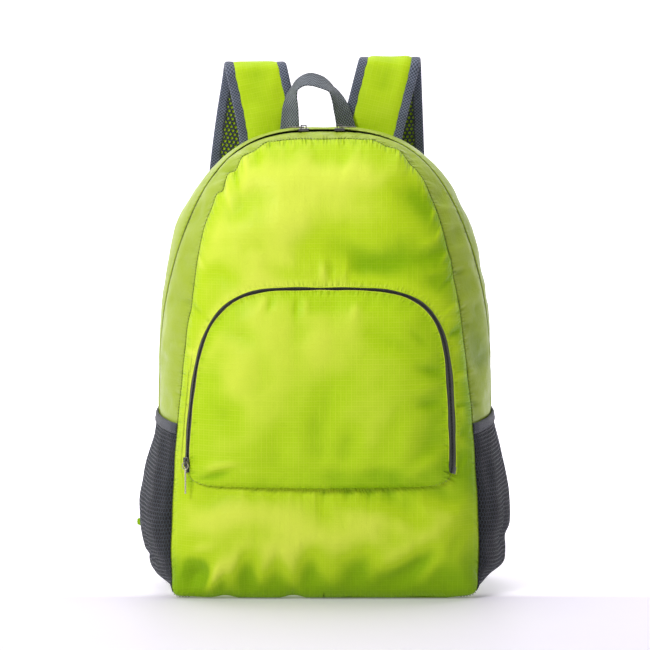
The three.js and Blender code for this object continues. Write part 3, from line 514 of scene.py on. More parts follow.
class Finish:
    """A material whose nodes are added by short calls."""

    def __init__(self, name):
        self.material = bpy.data.materials.new(name)
        self.material.use_nodes = True
        self.tree = self.material.node_tree
        self.shader = self.tree.nodes["Principled BSDF"]

    def node(self, kind, inputs=None, **settings):
        made = self.tree.nodes.new("ShaderNode" + kind)
        for key, value in settings.items():
            setattr(made, key, value)
        for key, value in (inputs or {}).items():
            self.feed(made.inputs[key], value)
        return made

    def feed(self, socket, value):
        if isinstance(value, bpy.types.NodeSocket):
            self.tree.links.new(value, socket)
        else:
            socket.default_value = value

    def sum(self, operation, *values, clamp=False):
        made = self.node("Math", dict(enumerate(values)), operation=operation, use_clamp=clamp)
        return made.outputs[0]

    def ranged(self, value, low, high, start=0.0, end=1.0):
        inputs = {"Value": value, "From Min": low, "From Max": high, "To Min": start, "To Max": end}
        return self.node("MapRange", inputs, interpolation_type="SMOOTHSTEP").outputs["Result"]

    def noise(self, place, scale, detail=2.0, rough=0.5):
        inputs = {"Vector": place, "Scale": scale, "Detail": detail, "Roughness": rough}
        return self.node("TexNoise", inputs).outputs["Fac"]

    def colour_mix(self, share, first, second, kind="MIX"):
        made = self.node("Mix", data_type="RGBA", blend_type=kind)
        for socket, value in zip((made.inputs[0], made.inputs[6], made.inputs[7]), (share, first, second)):
            self.feed(socket, value)
        return made.outputs[2]

    def bump(self, height, distance, strength=1.0, normal=None):
        inputs = {"Height": height, "Distance": distance, "Strength": strength}
        if normal is not None:
            inputs["Normal"] = normal
        return self.node("Bump", inputs).outputs["Normal"]

    def cloth_place(self):
        return self.node("UVMap", uv_map="cloth").outputs["UV"]

    def object_place(self):
        return self.node("TexCoord").outputs["Object"]

    def threads(self, along, pitch, width):
        """A line at every pitch: the distance from the middle of the step, made 0 or 1."""
        step = self.sum("FRACT", self.sum("DIVIDE", along, pitch))
        off = self.sum("ABSOLUTE", self.sum("SUBTRACT", step, 0.5))
        return self.ranged(off, 0.5 - width, 0.5 - width * 0.3)

    def set(self, **inputs):
        for key, value in inputs.items():
            self.feed(self.shader.inputs[key.replace("_", " ")], value)
        return self.material


def ripstop(name, pale, plain, deep, pitch_u=4.5, pitch_v=4.5, lines=0.5, rough=0.42, crinkle=0.45, gloss=0.16):
    """Thin coated nylon: painted light and shade from the folds and the light's direction, a raised ripstop grid in the
    cloth's own directions, fine crinkles.
    """
    f = Finish(name)
    cloth = f.cloth_place()
    place = f.object_place()
    axes = f.node("SeparateXYZ", {0: cloth})
    stray = f.noise(cloth, 45.0, 1.0)
    across = f.threads(axes.outputs["X"], pitch_u * MM, 0.13)
    along = f.threads(axes.outputs["Y"], pitch_v * MM, 0.13)
    half_across = f.threads(axes.outputs["X"], pitch_u / 2 * MM, 0.16)
    half_along = f.threads(axes.outputs["Y"], pitch_v / 2 * MM, 0.16)
    grid = f.sum(
        "MAXIMUM", f.sum("MULTIPLY", across, f.ranged(stray, 0.35, 0.60, 0.35, 1.0)),
        f.sum("MULTIPLY", along, f.ranged(stray, 0.40, 0.65, 1.0, 0.35))
    )
    weave = f.sum("MAXIMUM", half_across, half_along)
    # Painted light and shade from the geometry: negative values paint the cloth paler, positive values paint it deeper;
    # a random drift is added.
    painted_shading = f.node("Attribute", attribute_name="painted_shading").outputs["Fac"]
    drift = f.noise(place, 11.0, 3.0)
    shade = f.sum("ADD", painted_shading, f.ranged(drift, 0.3, 0.7, -0.2, 0.2))
    colour = f.colour_mix(f.ranged(shade, -0.8, 0.0), (*pale, 1), (*plain, 1))
    colour = f.colour_mix(f.ranged(shade, 0.0, 0.9), colour, (*deep, 1))
    # The paler grid threads show less where shade is painted.
    faint = f.ranged(shade, -0.3, 0.8, 0.34 * lines, 0.13 * lines)
    colour = f.colour_mix(f.sum("MULTIPLY", grid, faint), colour, (*pale, 1))
    colour = f.colour_mix(f.sum("MULTIPLY", weave, faint), colour, (*pale, 1))
    fine = f.noise(cloth, 1600.0, 2.0)
    colour = f.colour_mix(f.ranged(fine, 0.35, 0.75, 0.0, 0.16), colour, (*deep, 1))
    crinkles = f.noise(place, 95.0, 4.0, 0.55)
    sewn = f.node("SeparateXYZ", {0: f.node("Attribute", attribute_name="beside").outputs["Vector"]})
    near = f.ranged(sewn.outputs["Y"], 0.0, 8.0, 1.0, 0.0)
    strips = f.node(
        "CombineXYZ",
        {"X": f.sum("DIVIDE", sewn.outputs["X"], 2.7), "Y": f.sum("DIVIDE", sewn.outputs["Y"], 17.0)}
    )
    ruck = f.noise(strips.outputs["Vector"], 1.0, 1.0)
    ruck = f.sum("MULTIPLY", f.sum("SUBTRACT", ruck, 0.5), f.sum("MULTIPLY", near, sewn.outputs["Z"]))
    # Painted shade in the hollows of the rucks beside the seams.
    colour = f.colour_mix(f.ranged(ruck, -0.16, 0.0, 0.45, 0.0), colour, (*deep, 1))
    normal = f.bump(crinkles, 0.0016, crinkle)
    normal = f.bump(ruck, 0.0035, 0.9, normal)
    normal = f.bump(grid, 0.00012, 0.5, normal)
    normal = f.bump(fine, 0.00005, 0.5, normal)
    shine = f.ranged(crinkles, 0.3, 0.7, rough - 0.06, rough + 0.08)
    return f.set(Base_Color=colour, Roughness=shine, Normal=normal, Specular_IOR_Level=gloss)


def woven(name, dark, light, pitch_u, pitch_v, rough=0.82, depth=0.25, slant=False):
    """Webbing or binding: a plain or slanted weave of two tones in the tape's own directions, with loose fibres."""
    f = Finish(name)
    cloth = f.cloth_place()
    axes = f.node("SeparateXYZ", {0: cloth})
    u, v = axes.outputs["X"], axes.outputs["Y"]
    if slant:
        u = f.sum("ADD", u, f.sum("MULTIPLY", v, 0.6))
    wave_u = f.sum("SINE", f.sum("MULTIPLY", u, 2 * np.pi / (pitch_u * MM)))
    wave_v = f.sum("SINE", f.sum("MULTIPLY", v, 2 * np.pi / (pitch_v * MM)))
    weave = f.ranged(f.sum("MULTIPLY", wave_u, wave_v), -1.0, 1.0)
    fibre = f.noise(cloth, 2600.0, 3.0, 0.6)
    patch = f.noise(f.object_place(), 60.0, 3.0)
    share = f.sum("ADD", f.sum("MULTIPLY", f.ranged(weave, 0.2, 0.8), 0.7), f.sum("MULTIPLY", fibre, 0.3), clamp=True)
    colour = f.colour_mix(share, (*dark, 1), (*light, 1))
    colour = f.colour_mix(f.ranged(patch, 0.35, 0.7, 0.0, 0.25), colour, (*dark, 1))
    normal = f.bump(weave, depth * MM, 0.9)
    normal = f.bump(fibre, 0.0001, 0.7, normal)
    return f.set(
        Base_Color=colour, Roughness=rough, Normal=normal, Sheen_Weight=0.25, Sheen_Roughness=0.5, Specular_IOR_Level=0.25,
    )


def smooth_finish(name, colour, worn, rough, metal=0.0, scale=300.0):
    """Metal or moulded plastic: faint brushed or grained gloss, paler where it is worn."""
    f = Finish(name)
    place = f.object_place()
    grain = f.noise(place, scale, 4.0, 0.6)
    wear = f.noise(place, 80.0, 2.0)
    mixed = f.colour_mix(f.ranged(wear, 0.45, 0.75, 0.0, 0.6), (*colour, 1), (*worn, 1))
    return f.set(
        Base_Color=mixed, Roughness=f.ranged(grain, 0.3, 0.7, rough * 0.7, rough * 1.3),
        Normal=f.bump(grain, 0.00004, 0.5), Metallic=metal,
    )


RIPSTOP = ripstop("lime ripstop", (0.71, 0.815, 0.078), (0.485, 0.69, 0.010), (0.235, 0.44, 0.0005), gloss=0.10)
POCKET_RIPSTOP = ripstop(
    "lime pocket ripstop", (0.65, 0.775, 0.062), (0.435, 0.66, 0.008), (0.235, 0.45, 0.0005), 4.6, 4.5, 0.75,
    gloss=0.09
)
SATIN = ripstop(
    "lime gusset nylon", (0.46, 0.57, 0.10), (0.375, 0.49, 0.042), (0.23, 0.34, 0.014), 2.2, 2.2, 0.2, 0.38,
    0.6, 0.22
)
BINDING = woven("slate binding", (0.008, 0.011, 0.020), (0.22, 0.25, 0.34), 3.2, 2.8)
BAND = woven("dark band", (0.020, 0.023, 0.028), (0.095, 0.105, 0.125), 2.0, 2.0, rough=0.7)
WEBBING = woven("slate webbing", (0.006, 0.009, 0.012), (0.24, 0.27, 0.31), 3.2, 3.2, depth=0.4)
NET = woven("dark net", (0.013, 0.017, 0.023), (0.060, 0.072, 0.096), 0.5, 0.5, rough=0.55, depth=0.05)
# A near-black sheet behind the side nets: painted shade for the inside of the pockets, seen through the holes.
NET_SHADE_SHEET = woven("painted pocket shade", (0.003, 0.0035, 0.003), (0.010, 0.011, 0.010), 0.9, 0.9, rough=1.0)
ZIP_TAPE = woven("zip tape", (0.050, 0.053, 0.044), (0.17, 0.178, 0.15), 0.9, 0.9, rough=0.45)
ZIP_COIL = smooth_finish("zip coil", (0.004, 0.0045, 0.0035), (0.012, 0.013, 0.011), 0.5)
SILVER = smooth_finish("nickel plate", (0.46, 0.43, 0.34), (0.60, 0.56, 0.44), 0.26, 1.0)
DULL_NICKEL = smooth_finish("dull nickel plate", (0.16, 0.155, 0.13), (0.28, 0.265, 0.22), 0.38, 1.0)
GUNMETAL = smooth_finish("dark nickel plate", (0.10, 0.10, 0.095), (0.22, 0.21, 0.19), 0.32, 1.0)
PLASTIC = smooth_finish("black moulded plastic", (0.018, 0.019, 0.022), (0.05, 0.052, 0.056), 0.42, scale=900.0)
LIME_THREAD = woven("lime thread", (0.34, 0.48, 0.03), (0.66, 0.78, 0.20), 0.5, 0.5)
DARK_THREAD = woven("dark green thread", (0.045, 0.075, 0.010), (0.12, 0.17, 0.03), 0.5, 0.5)
GREY_THREAD = woven("grey thread", (0.10, 0.11, 0.13), (0.28, 0.29, 0.33), 0.5, 0.5)


def painted_hollow_shade(lift, scale):
    """Painted shade: deeper colour in hollows; painted light: paler on mounds."""
    return np.clip(-lift / scale, -0.7, 1.3)


def painted_lighting_gradient(x, z):
    """Painted light and shade: the cloth is paler up and to the left, where the key light falls, and deeper down and to
    the right.
    """
    # Painted light on the bulge below the pocket, painted shade along the bottom edge where the cloth turns under.
    low = 0.45 * np.exp(-(((z - 76) / 34) ** 2)) - 0.5 * np.exp(-z / 9)
    aside = 0.50 - 0.34 * np.exp(-(((z - 40) / 70) ** 2))
    return aside * (x + 25) / (BAG_WIDTH / 2) - 0.42 * (z - 190) / (BAG_HEIGHT / 2) - low


def pocket_zip_width(angle):
    """From the zip's middle line to the cloth's edge: wide at the right, narrow along the top, between at the left."""
    right = np.clip(np.cos(angle), 0, 1) ** 0.7 * np.clip(1.25 - np.sin(angle), 0, 1)
    left = np.clip(-np.cos(angle), 0, 1) ** 0.7
    return 1.05 + 2.3 * right + 1.05 * left


def beyond_pocket(x, z):
    """How far outside the pocket's outline a point lies, in millimetres, less than nothing inside it."""
    angle = outline_angle(POCKET_OUTLINE, x, z)
    return (outline_share(POCKET_OUTLINE, x, z) - 1) * outline_point(POCKET_OUTLINE, angle)[2]


PANEL_STEP = 4.0
PANEL_X = np.arange(-144.0, 145.0, PANEL_STEP)
PANEL_Z = np.arange(0.0, 409.0, PANEL_STEP)


def front_slack():
    """The settled cloth of the front panel, sewn at its rim and round the pocket."""
    x, z = np.meshgrid(PANEL_X, PANEL_Z)
    share = outline_share(FRONT_OUTLINE, x, z)
    calm = 1 - np.minimum(1, share) ** 10
    y = front_depth(x, z) - fold_sum(FINE_FOLDS, x, z) * calm
    held = (share > 0.965) | (beyond_pocket(x, z) < 3)
    return settled(np.stack([x, y, z], -1), held, 0.013, 14.0, 5.0, 2)


def front_cloth():
    """The front panel: rings of the front outline, the CAD's bulge and broad folds, fine folds, seam puckers."""
    columns, rings = 620, 64
    place = np.linspace(0, LINE_LENGTHS[-1], columns, endpoint=False)
    angle = np.interp(place, LINE_LENGTHS, LINE_ANGLES)
    share = (1 - (1 - np.arange(1, rings + 1) / rings) ** 1.35)[:, None]
    rim = 1 - GAP / 2 / outline_point(FRONT_OUTLINE, angle)[2]
    extra = seam_jog(angle) * share**9
    x, z, _ = outline_point(FRONT_OUTLINE, angle[None, :], share * rim[None, :], extra)
    away = outline_point(FRONT_OUTLINE, angle)[2][None, :] * (1 - share)
    fade = 1 - share**10
    outside = beyond_pocket(x, z)
    width = pocket_zip_width(outline_angle(POCKET_OUTLINE, x, z))
    beside_zip = np.clip((z - POCKET_BASE_HEIGHT - 8) / 12, 0, 1)
    below = -outside * 0 + POCKET_BASE_HEIGHT - 3 + 12 * np.exp(-(((x + 118) / 22) ** 2)) - z
    hanging = sum(lift * np.exp(-(((x - middle) / broad) ** 2)) for middle, broad, lift in HANGING_TUCKS)
    hanging = hanging * np.where(below > 0, np.exp(-below / 9) * np.clip(below / 2, 0, 1), 0)
    climb = np.clip((outside + 7) / 5, 0, 1)
    ramp = (0.7 + 1.3 * climb**2 * (3 - 2 * climb)) * np.exp(-((np.maximum(0, outside - width) / 12) ** 2))
    calm = 1 - beside_zip * np.exp(-((np.maximum(0, outside - width - 1) / 6) ** 2))
    small = ripples(x, z, 46, 3) * 0.35 + ripples(x, z, 15, 5, 20, 0.6) * 0.14
    fine = ((fold_sum(FINE_FOLDS, x, z) + small) * calm + hanging + ramp * beside_zip) * fade
    fine += seam_puckers(angle[None, :], away, True)
    y = front_depth(x, z, share) - fine
    z = np.where(z < GAP, 0, z)
    points = np.stack([x, y, z], -1)
    slack = from_grid(front_slack(), (z - PANEL_Z[0]) / PANEL_STEP, (x - PANEL_X[0]) / PANEL_STEP)
    slack *= ((1 - share**30) * calm)[..., None]
    points += slack
    points[..., 2] = np.maximum(0, points[..., 2])
    # Painted shade in the folds' hollows, painted light on their mounds, the painted light-to-shade gradient, and
    # painted light on the cloth that climbs to the pocket zip.
    painted_shading = painted_hollow_shade(fine - 1.0 + fold_sum(BROAD, x, z) * 0.35 - slack[..., 1] * 0.6, 3.6) + painted_lighting_gradient(x, z)
    painted_shading -= 0.2 * np.exp(-((np.maximum(0, outside - width) / 5) ** 2)) * beside_zip
    strength = 0.75 + 0.45 * np.exp(-(((place - seam_place(5.0, 405.0)) / 110) ** 2)) + 0 * away
    near_pocket = np.abs(outside) < away
    round_pocket = outline_angle(POCKET_OUTLINE, x, z) * 105
    beside = np.stack([
        np.where(near_pocket, round_pocket, place[None, :]), np.where(
            near_pocket, np.maximum(0, outside - width), away
        ),
        np.where(near_pocket, 0.8, strength),
    ], -1)
    points = np.concatenate([[points[0].mean(0)], points.reshape(-1, 3)])
    painted_shading = np.concatenate([[painted_shading[0].mean()], painted_shading.ravel()])
    beside = np.concatenate([[[0, 99, 0]], beside.reshape(-1, 3)])
    flat = points[:, [0, 2]] + np.stack([fold_sum(FINE_FOLDS, points[:, 0], points[:, 2]) * 0.4] * 2, -1)
    return build(
        "front_cloth", points, disc_faces(rings, columns), RIPSTOP, nodes=["front_panel"], flat=flat,
        wall=PANEL_THICKNESS, painted_shading=painted_shading, beside=beside,
    )


def back_cloth():
    """The back panel: rings of the back outline with the CAD's low bulge and settled slack."""
    columns, rings = 320, 48
    angle = np.linspace(-np.pi / 2, 1.5 * np.pi, columns, endpoint=False)
    share = np.sin(np.pi / 2 * (np.arange(1, rings + 1) / rings) ** 0.9)[:, None]
    rim = 1 - GAP / 2 / outline_point(BACK_OUTLINE, angle)[2]
    x, z, _ = outline_point(BACK_OUTLINE, angle[None, :], share * rim[None, :])
    lift = (ripples(x, z, 70, 11) * 0.8 + ripples(x, z, 26, 12, 10, 0.5) * 0.3) * (1 - share**8)
    y = seam_depth(z, BACK_LEAN) + BACK_BULGE * crown(BACK_OUTLINE, x, z, share) + lift
    grid_x, grid_z = np.meshgrid(PANEL_X, PANEL_Z)
    grid_share = outline_share(BACK_OUTLINE, grid_x, grid_z)
    grid_y = seam_depth(grid_z, BACK_LEAN) + BACK_BULGE * crown(BACK_OUTLINE, grid_x, grid_z, grid_share)
    move = settled(np.stack([grid_x, grid_y, grid_z], -1), grid_share > 0.965, 0.012, 18.0, 4.5, 7)
    slack = from_grid(move, (z - PANEL_Z[0]) / PANEL_STEP, (x - PANEL_X[0]) / PANEL_STEP) * (1 - share**30)[..., None]
    points = np.stack([x, y, np.where(z < GAP, 0, z)], -1) + slack
    points[..., 2] = np.maximum(0, points[..., 2])
    # Painted shade in the hollows of the slack, painted light on its mounds.
    painted_shading = painted_hollow_shade(lift + slack[..., 1] * 0.6, 4.0)
    points = np.concatenate([[points[0].mean(0)], points.reshape(-1, 3)])
    painted_shading = np.concatenate([[painted_shading[0].mean()], painted_shading.ravel()])
    return build(
        "back_cloth", points, disc_faces(rings, columns), SATIN, nodes=["back_panel"],
        flat=points[:, [0, 2]], wall=PANEL_THICKNESS, painted_shading=painted_shading
    )


def opening_half(angle):
    """Half the gap between the gussets at the main zip: a hair at the sides, open at the top, shut below the zip."""
    at = band_point(angle, zip_place(angle))
    top = np.exp(-(((at[..., 0] + 12) / 62) ** 2)) * (at[..., 2] > 300)
    half = 0.24 + 0.75 * top
    shut = np.clip((at[..., 2] - ZIP_FOOT_HEIGHT + 6) / 12, 0, 1)
    return GAP / 2 + (half - GAP / 2) * shut


def blurred(field, times):
    """Each value mixed with its neighbours by 1, 2, 1 along both ways of the grid."""
    for _ in range(times):
        for axis in (0, 1):
            edge = [(1, 1) if k == axis else (0, 0) for k in range(field.ndim)]
            wide = np.pad(field, edge, mode="edge")
            field = (np.take(
                wide, range(0, wide.shape[axis] - 2), axis
            ) + 2 * field + np.take(wide, range(2, wide.shape[axis]), axis)) / 4
    return field


def settled(points, held, slack, stiffness=12.0, limit=6.0, seed=1, ways=None, frames=24):
    """How far a sewn panel moves when it has more cloth than room: Blender's Cloth with the held points pinned.

    The points are a grid of the panel's modelled shape; the answer is a grid of moves, smoothed and limited softly.
    """
    rows, columns = points.shape[:2]
    start = points.copy()
    wave = ripples(points[..., 0] + 0.6 * points[..., 1], points[..., 2] + 0.8 * points[..., 1], 38, seed) * 0.5
    start += (outward(points) if ways is None else ways) * np.where(held, 0, wave)[..., None]
    number = np.arange(rows * columns).reshape(rows, columns)
    a, b, c, d = number[:-1, :-1], number[:-1, 1:], number[1:, 1:], number[1:, :-1]
    odd = (np.add.outer(np.arange(rows - 1), np.arange(columns - 1)) % 2 == 1)[..., None]
    first = np.where(odd, np.stack([a, b, c], -1), np.stack([a, b, d], -1)).reshape(-1, 3)
    second = np.where(odd, np.stack([a, c, d], -1), np.stack([b, c, d], -1)).reshape(-1, 3)
    mesh = bpy.data.meshes.new("settling cloth")
    mesh.from_pydata((start.reshape(-1, 3) * MM).tolist(), [], np.concatenate([first, second]).tolist())
    panel = bpy.data.objects.new("settling cloth", mesh)
    bpy.context.scene.collection.objects.link(panel)
    sewn = panel.vertex_groups.new(name="sewn")
    sewn.add(np.flatnonzero(held).tolist(), 1.0, "REPLACE")
    cloth = panel.modifiers.new("cloth", "CLOTH")
    cloth.settings.quality = 6
    cloth.settings.mass = 0.05
    cloth.settings.tension_stiffness = cloth.settings.compression_stiffness = 15
    cloth.settings.shear_stiffness = 7.5
    cloth.settings.bending_stiffness = stiffness
    cloth.settings.air_damping = 2
    cloth.settings.vertex_group_mass = "sewn"
    cloth.settings.shrink_min = -slack
    cloth.settings.effector_weights.gravity = 0
    cloth.collision_settings.use_collision = False
    cloth.point_cache.frame_end = frames
    for step in range(1, frames + 1):
        bpy.context.scene.frame_set(step)
    shaped = panel.evaluated_get(bpy.context.evaluated_depsgraph_get()).data
    places = np.zeros(rows * columns * 3)
    shaped.vertices.foreach_get("co", places)
    bpy.data.objects.remove(panel)
    bpy.data.meshes.remove(mesh)
    bpy.context.scene.frame_set(1)
    move = places.reshape(points.shape) / MM - points
    move = blurred(move, 2)
    length = np.linalg.norm(move, axis=-1, keepdims=True) + 1e-9
    return move * (limit * np.tanh(length / limit) / length)


def from_grid(field, row, column):
    """Values of a grid between its points by cubic B-spline weights; row and column count grid steps."""
    rows, columns = field.shape[:2]
    row, column = np.clip(row, 0, rows - 1.001), np.clip(column, 0, columns - 1.001)
    row_first, column_first = np.floor(row).astype(int), np.floor(column).astype(int)
    total = np.zeros((*row.shape, *field.shape[2:]))

    def weights(t):
        return ((1 - t) ** 3 / 6, (3 * t**3 - 6 * t**2 + 4) / 6, (-3 * t**3 + 3 * t**2 + 3 * t + 1) / 6, t**3 / 6)

    for i, by_row in enumerate(weights(row - row_first)):
        for j, by_column in enumerate(weights(column - column_first)):
            at = field[np.clip(row_first + i - 1, 0, rows - 1), np.clip(column_first + j - 1, 0, columns - 1)]
            total += at * (by_row * by_column)[..., None]
    return total


BAND_ANGLES = np.linspace(-FOOT_ANGLE, np.pi + FOOT_ANGLE, 620)


def gusset_slack(start, end, seed):
    """The settled cloth of a gusset as a grid of band places: rows across it and columns along it."""
    step = np.linspace(0, 1, 13)[:, None]
    angles = np.linspace(BAND_ANGLES[0], BAND_ANGLES[-1], 340)
    across = start(angles)[None, :] * (1 - step) + end(angles)[None, :] * step
    points = band_point(np.broadcast_to(angles[None, :], across.shape), across)
    held = np.zeros(across.shape, bool)
    held[[0, -1]] = True
    held |= points[..., 2] < NET_FOOT_HEIGHT + NET_HEIGHT + 4
    return settled(points, held, 0.02, 3.0, 2.6, seed)


def gusset(name, rows, start, end, front):
    """A strip of the band between two shares across it, with settled slack and puckers beside its seams."""
    angle = BAND_ANGLES[None, :]
    step = np.linspace(0, 1, rows)[:, None]
    across = start(BAND_ANGLES)[None, :] * (1 - step) + end(BAND_ANGLES)[None, :] * step
    points = band_point(np.broadcast_to(angle, across.shape), across)
    reach = band_reach(BAND_ANGLES)[None, :]
    place = seam_length(angle)
    low = points[..., 2] < 150
    slack = ripples(place + 0 * across, across * reach, 30, 21 if front else 22, 35, 0.5) * 0.25
    slack += ripples(place + 0 * across, across * reach, 11, 23, -30, 0.6) * 0.12
    edge = np.minimum((across - start(BAND_ANGLES)) * reach, (end(BAND_ANGLES) - across) * reach)
    calm = 1 - np.exp(-(np.maximum(0, edge) / 4) ** 2)
    lift = slack * calm * np.where(low, 0.25, 1.0)
    if front:
        from_seam = across * reach
        lift = lift + seam_puckers(angle, from_seam, False) * np.exp(-from_seam / 40) * np.where(low, 0.2, 1.0)
        lift = lift - 0.2 * np.exp(-(((end(BAND_ANGLES) - across) * reach) / 2.5) ** 2)
    else:
        top = np.exp(-(((points[..., 0] + 12) / 75) ** 4)) * (points[..., 2] > 300)
        lift = lift + (0.35 + 1.7 * top) * np.exp(-(((across - start(BAND_ANGLES)) * reach - 1.5) / (2.0 + 1.5 * top)) ** 2)
    if not front:
        lift = lift + 3.0 * np.exp(-(((place - seam_place(-104.0, 330.0)) / 26) ** 2)) * np.sin(np.pi * step) ** 0.7
    lift = lift * np.clip(points[..., 2] / 6, 0, 1)
    move = from_grid(
        gusset_slack(start, end, 31 if front else 32), step * 12 + 0 * across,
        np.linspace(0, 339, len(BAND_ANGLES))[None, :] + 0 * across,
    ) * np.sin(np.pi * step)[..., None] ** 0.5
    points = points + outward(points) * lift[..., None] + move
    flat = np.stack([place + 0 * across, across * reach], -1)
    columns = len(BAND_ANGLES)
    # Painted shade in hollows, painted light on mounds, a weaker copy of the painted light-to-shade gradient, and a
    # deeper level, more on the back gusset.
    painted_shading = painted_hollow_shade(lift + np.einsum("ijk,ijk->ij", move, outward(points)) * 0.7, 3.2)
    painted_shading = painted_shading + 0.55 * painted_lighting_gradient(points[..., 0], points[..., 2]) + (0.15 if front else 0.25)
    top = np.exp(-(((place - seam_place(5.0, 405.0)) / 110) ** 2))
    beside = np.stack(
        [place + 0 * across, np.maximum(0, edge), (0.8 + 0.35 * top) * (1.0 if front else 0.7) + 0 * across],
        -1
    )
    return build(
        name, points, grid_faces(rows, columns), SATIN,
        nodes=["front_gusset" if front else "back_gusset"], flat=flat, wall=PANEL_THICKNESS, painted_shading=painted_shading, beside=beside,
    )


def base_cloth():
    """The underside: the band's parabola from foot to foot, flat on the floor."""
    columns, rows = 90, 24
    x = np.linspace(-BASE_WIDTH / 2 + GAP, BASE_WIDTH / 2 - GAP, columns)
    angle = np.pi + np.arctan2(WIDEST_HEIGHT, -x)
    rim = GAP / 2 / band_reach(angle)
    across = rim[None, :] + (1 - 2 * rim[None, :]) * np.linspace(0, 1, rows)[:, None]
    points = band_point(np.broadcast_to(angle[None, :], across.shape), across)
    return build(
        "base_cloth", points, grid_faces(rows, columns), RIPSTOP, nodes=["base_panel"],
        flat=points[..., :2], wall=PANEL_THICKNESS, painted_shading=np.full(points.shape[:2], 0.3),
    )


front_cloth()
back_cloth()
gusset(
    "front_gusset_cloth", 22, lambda a: GAP / 2 / band_reach(a),
    lambda a: zip_place(a) - opening_half(a) / band_reach(a), True
)
gusset(
    "back_gusset_cloth", 34, lambda a: zip_place(a) + opening_half(a) / band_reach(a),
    lambda a: 1 - GAP / 2 / band_reach(a), False
)
base_cloth()


def swept(frames, section, closed_ends=True):
    """A section carried along frames: middle + wide * section's first column + thick * its second one."""
    middle, wide, thick = frames
    section = np.asarray(section, float)
    if section.ndim == 2:
        section = np.broadcast_to(section, (len(middle), *section.shape))
    points = middle[:, None, :] + wide[:, None, :] * section[..., :1] + thick[:, None, :] * section[..., 1:2]
    steps, sides = section.shape[:2]
    faces = grid_faces(steps, sides, 0, True).tolist()
    if closed_ends:
        last = (steps - 1) * sides
        faces += [list(range(sides))[::-1], list(range(last, last + sides))]
    return points, faces


def rounded_section(width, thickness, sides=40, power=4.0):
    """A flat rounded section: the superellipse |2x/width|^power + |2y/thickness|^power = 1, even round its angle."""
    angle = np.linspace(0, 2 * np.pi, sides, endpoint=False)
    cosine, sine = np.cos(angle), np.sin(angle)
    x = width / 2 * np.sign(cosine) * np.abs(cosine) ** (2 / power)
    y = thickness / 2 * np.sign(sine) * np.abs(sine) ** (2 / power)
    return np.stack([x, y], -1)


def smooth_line(points, step):
    """The centripetal Catmull-Rom curve through points, resampled to even steps, with its directions."""
    ends = [2 * points[0] - points[1], *points, 2 * points[-1] - points[-2]]
    line = []
    for a, b, c, d in zip(ends, ends[1:], ends[2:], ends[3:]):
        knots = np.cumsum([0, *(np.sqrt(np.linalg.norm(q - p)) for p, q in ((a, b), (b, c), (c, d)))])
        t = np.linspace(knots[1], knots[2], 60, endpoint=False)[:, None]
        t0, t1, t2, t3 = knots
        ab, bc, cd = ((t1 - t) * a + (t - t0) * b) / (t1 - t0), ((t2 - t) * b + (t - t1) * c) / (t2 - t1), ((t3 - t) * c + (t - t2) * d) / (t3 - t2)
        abc, bcd = ((t2 - t) * ab + (t - t0) * bc) / (t2 - t0), ((t3 - t) * bc + (t - t1) * cd) / (t3 - t1)
        line.append(((t2 - t) * abc + (t - t1) * bcd) / (t2 - t1))
    line = np.concatenate([*line, points[-1:]])
    return even_line(line, step)


def even_line(line, step):
    """A line resampled to even steps of about the given length; returns points, directions and lengths."""
    lengths = np.concatenate([[0], np.cumsum(np.linalg.norm(np.diff(line, axis=0), axis=1))])
    count = max(2, int(round(lengths[-1] / step)) + 1)
    wanted = np.linspace(0, lengths[-1], count)
    even = np.stack([np.interp(wanted, lengths, line[:, k]) for k in range(3)], -1)
    ways = np.gradient(even, axis=0)
    return even, ways / np.linalg.norm(ways, axis=1, keepdims=True), wanted


def unit(vectors):
    return vectors / np.linalg.norm(vectors, axis=-1, keepdims=True)


def strap_frames(side, step=2.2):
    """The strap's line with its level direction across and the direction that its lime face points in."""
    seam_top = BACK_OUTLINE["top"]
    out = STRAP_ROUTE[:, 1 if side > 0 else 0] * BAG_WIDTH / 2 * side
    up = STRAP_ROUTE[:, 3]
    z = np.where(up > 0, seam_top + (STRAP_TOPS[side] - seam_top) * up, seam_top * (1 + up))
    route = np.stack([out, seam_depth(seam_top, BACK_LEAN) + STRAP_ROUTE[:, 2] * STRAP_WIDTH, z], -1)
    middle, forward, length = smooth_line(route, step)
    wide = unit(np.array([1.0, 0, 0]) - forward * forward[:, :1])
    return middle, wide, np.cross(wide, forward), length


def haul_frames(step=1.2):
    """The haul loop's line: its legs face the front and its top turns towards its edge."""
    foot = BACK_OUTLINE["top"] + GAP * 4
    route = np.stack([
        HAUL_SHIFT + (HAUL_ROUTE[:, 0] - 0.5) * HAUL_SPAN,
        np.full(len(HAUL_ROUTE), seam_depth(foot, BACK_LEAN)),
        foot + HAUL_ROUTE[:, 1] * HAUL_HEIGHT,
    ], -1)
    middle, forward, length = smooth_line(route, step)
    share = length / length[-1]
    turn = np.interp(share, HAUL_TWIST[:, 0], HAUL_TWIST[:, 1])[:, None]
    turn = np.radians(HAUL_TURN + turn)
    level = np.broadcast_to(np.array([0, 1.0, 0]), forward.shape)
    wide = unit(-np.cross(level, forward) * np.cos(turn) + level * np.sin(turn))
    return middle, wide, np.cross(wide, forward), length


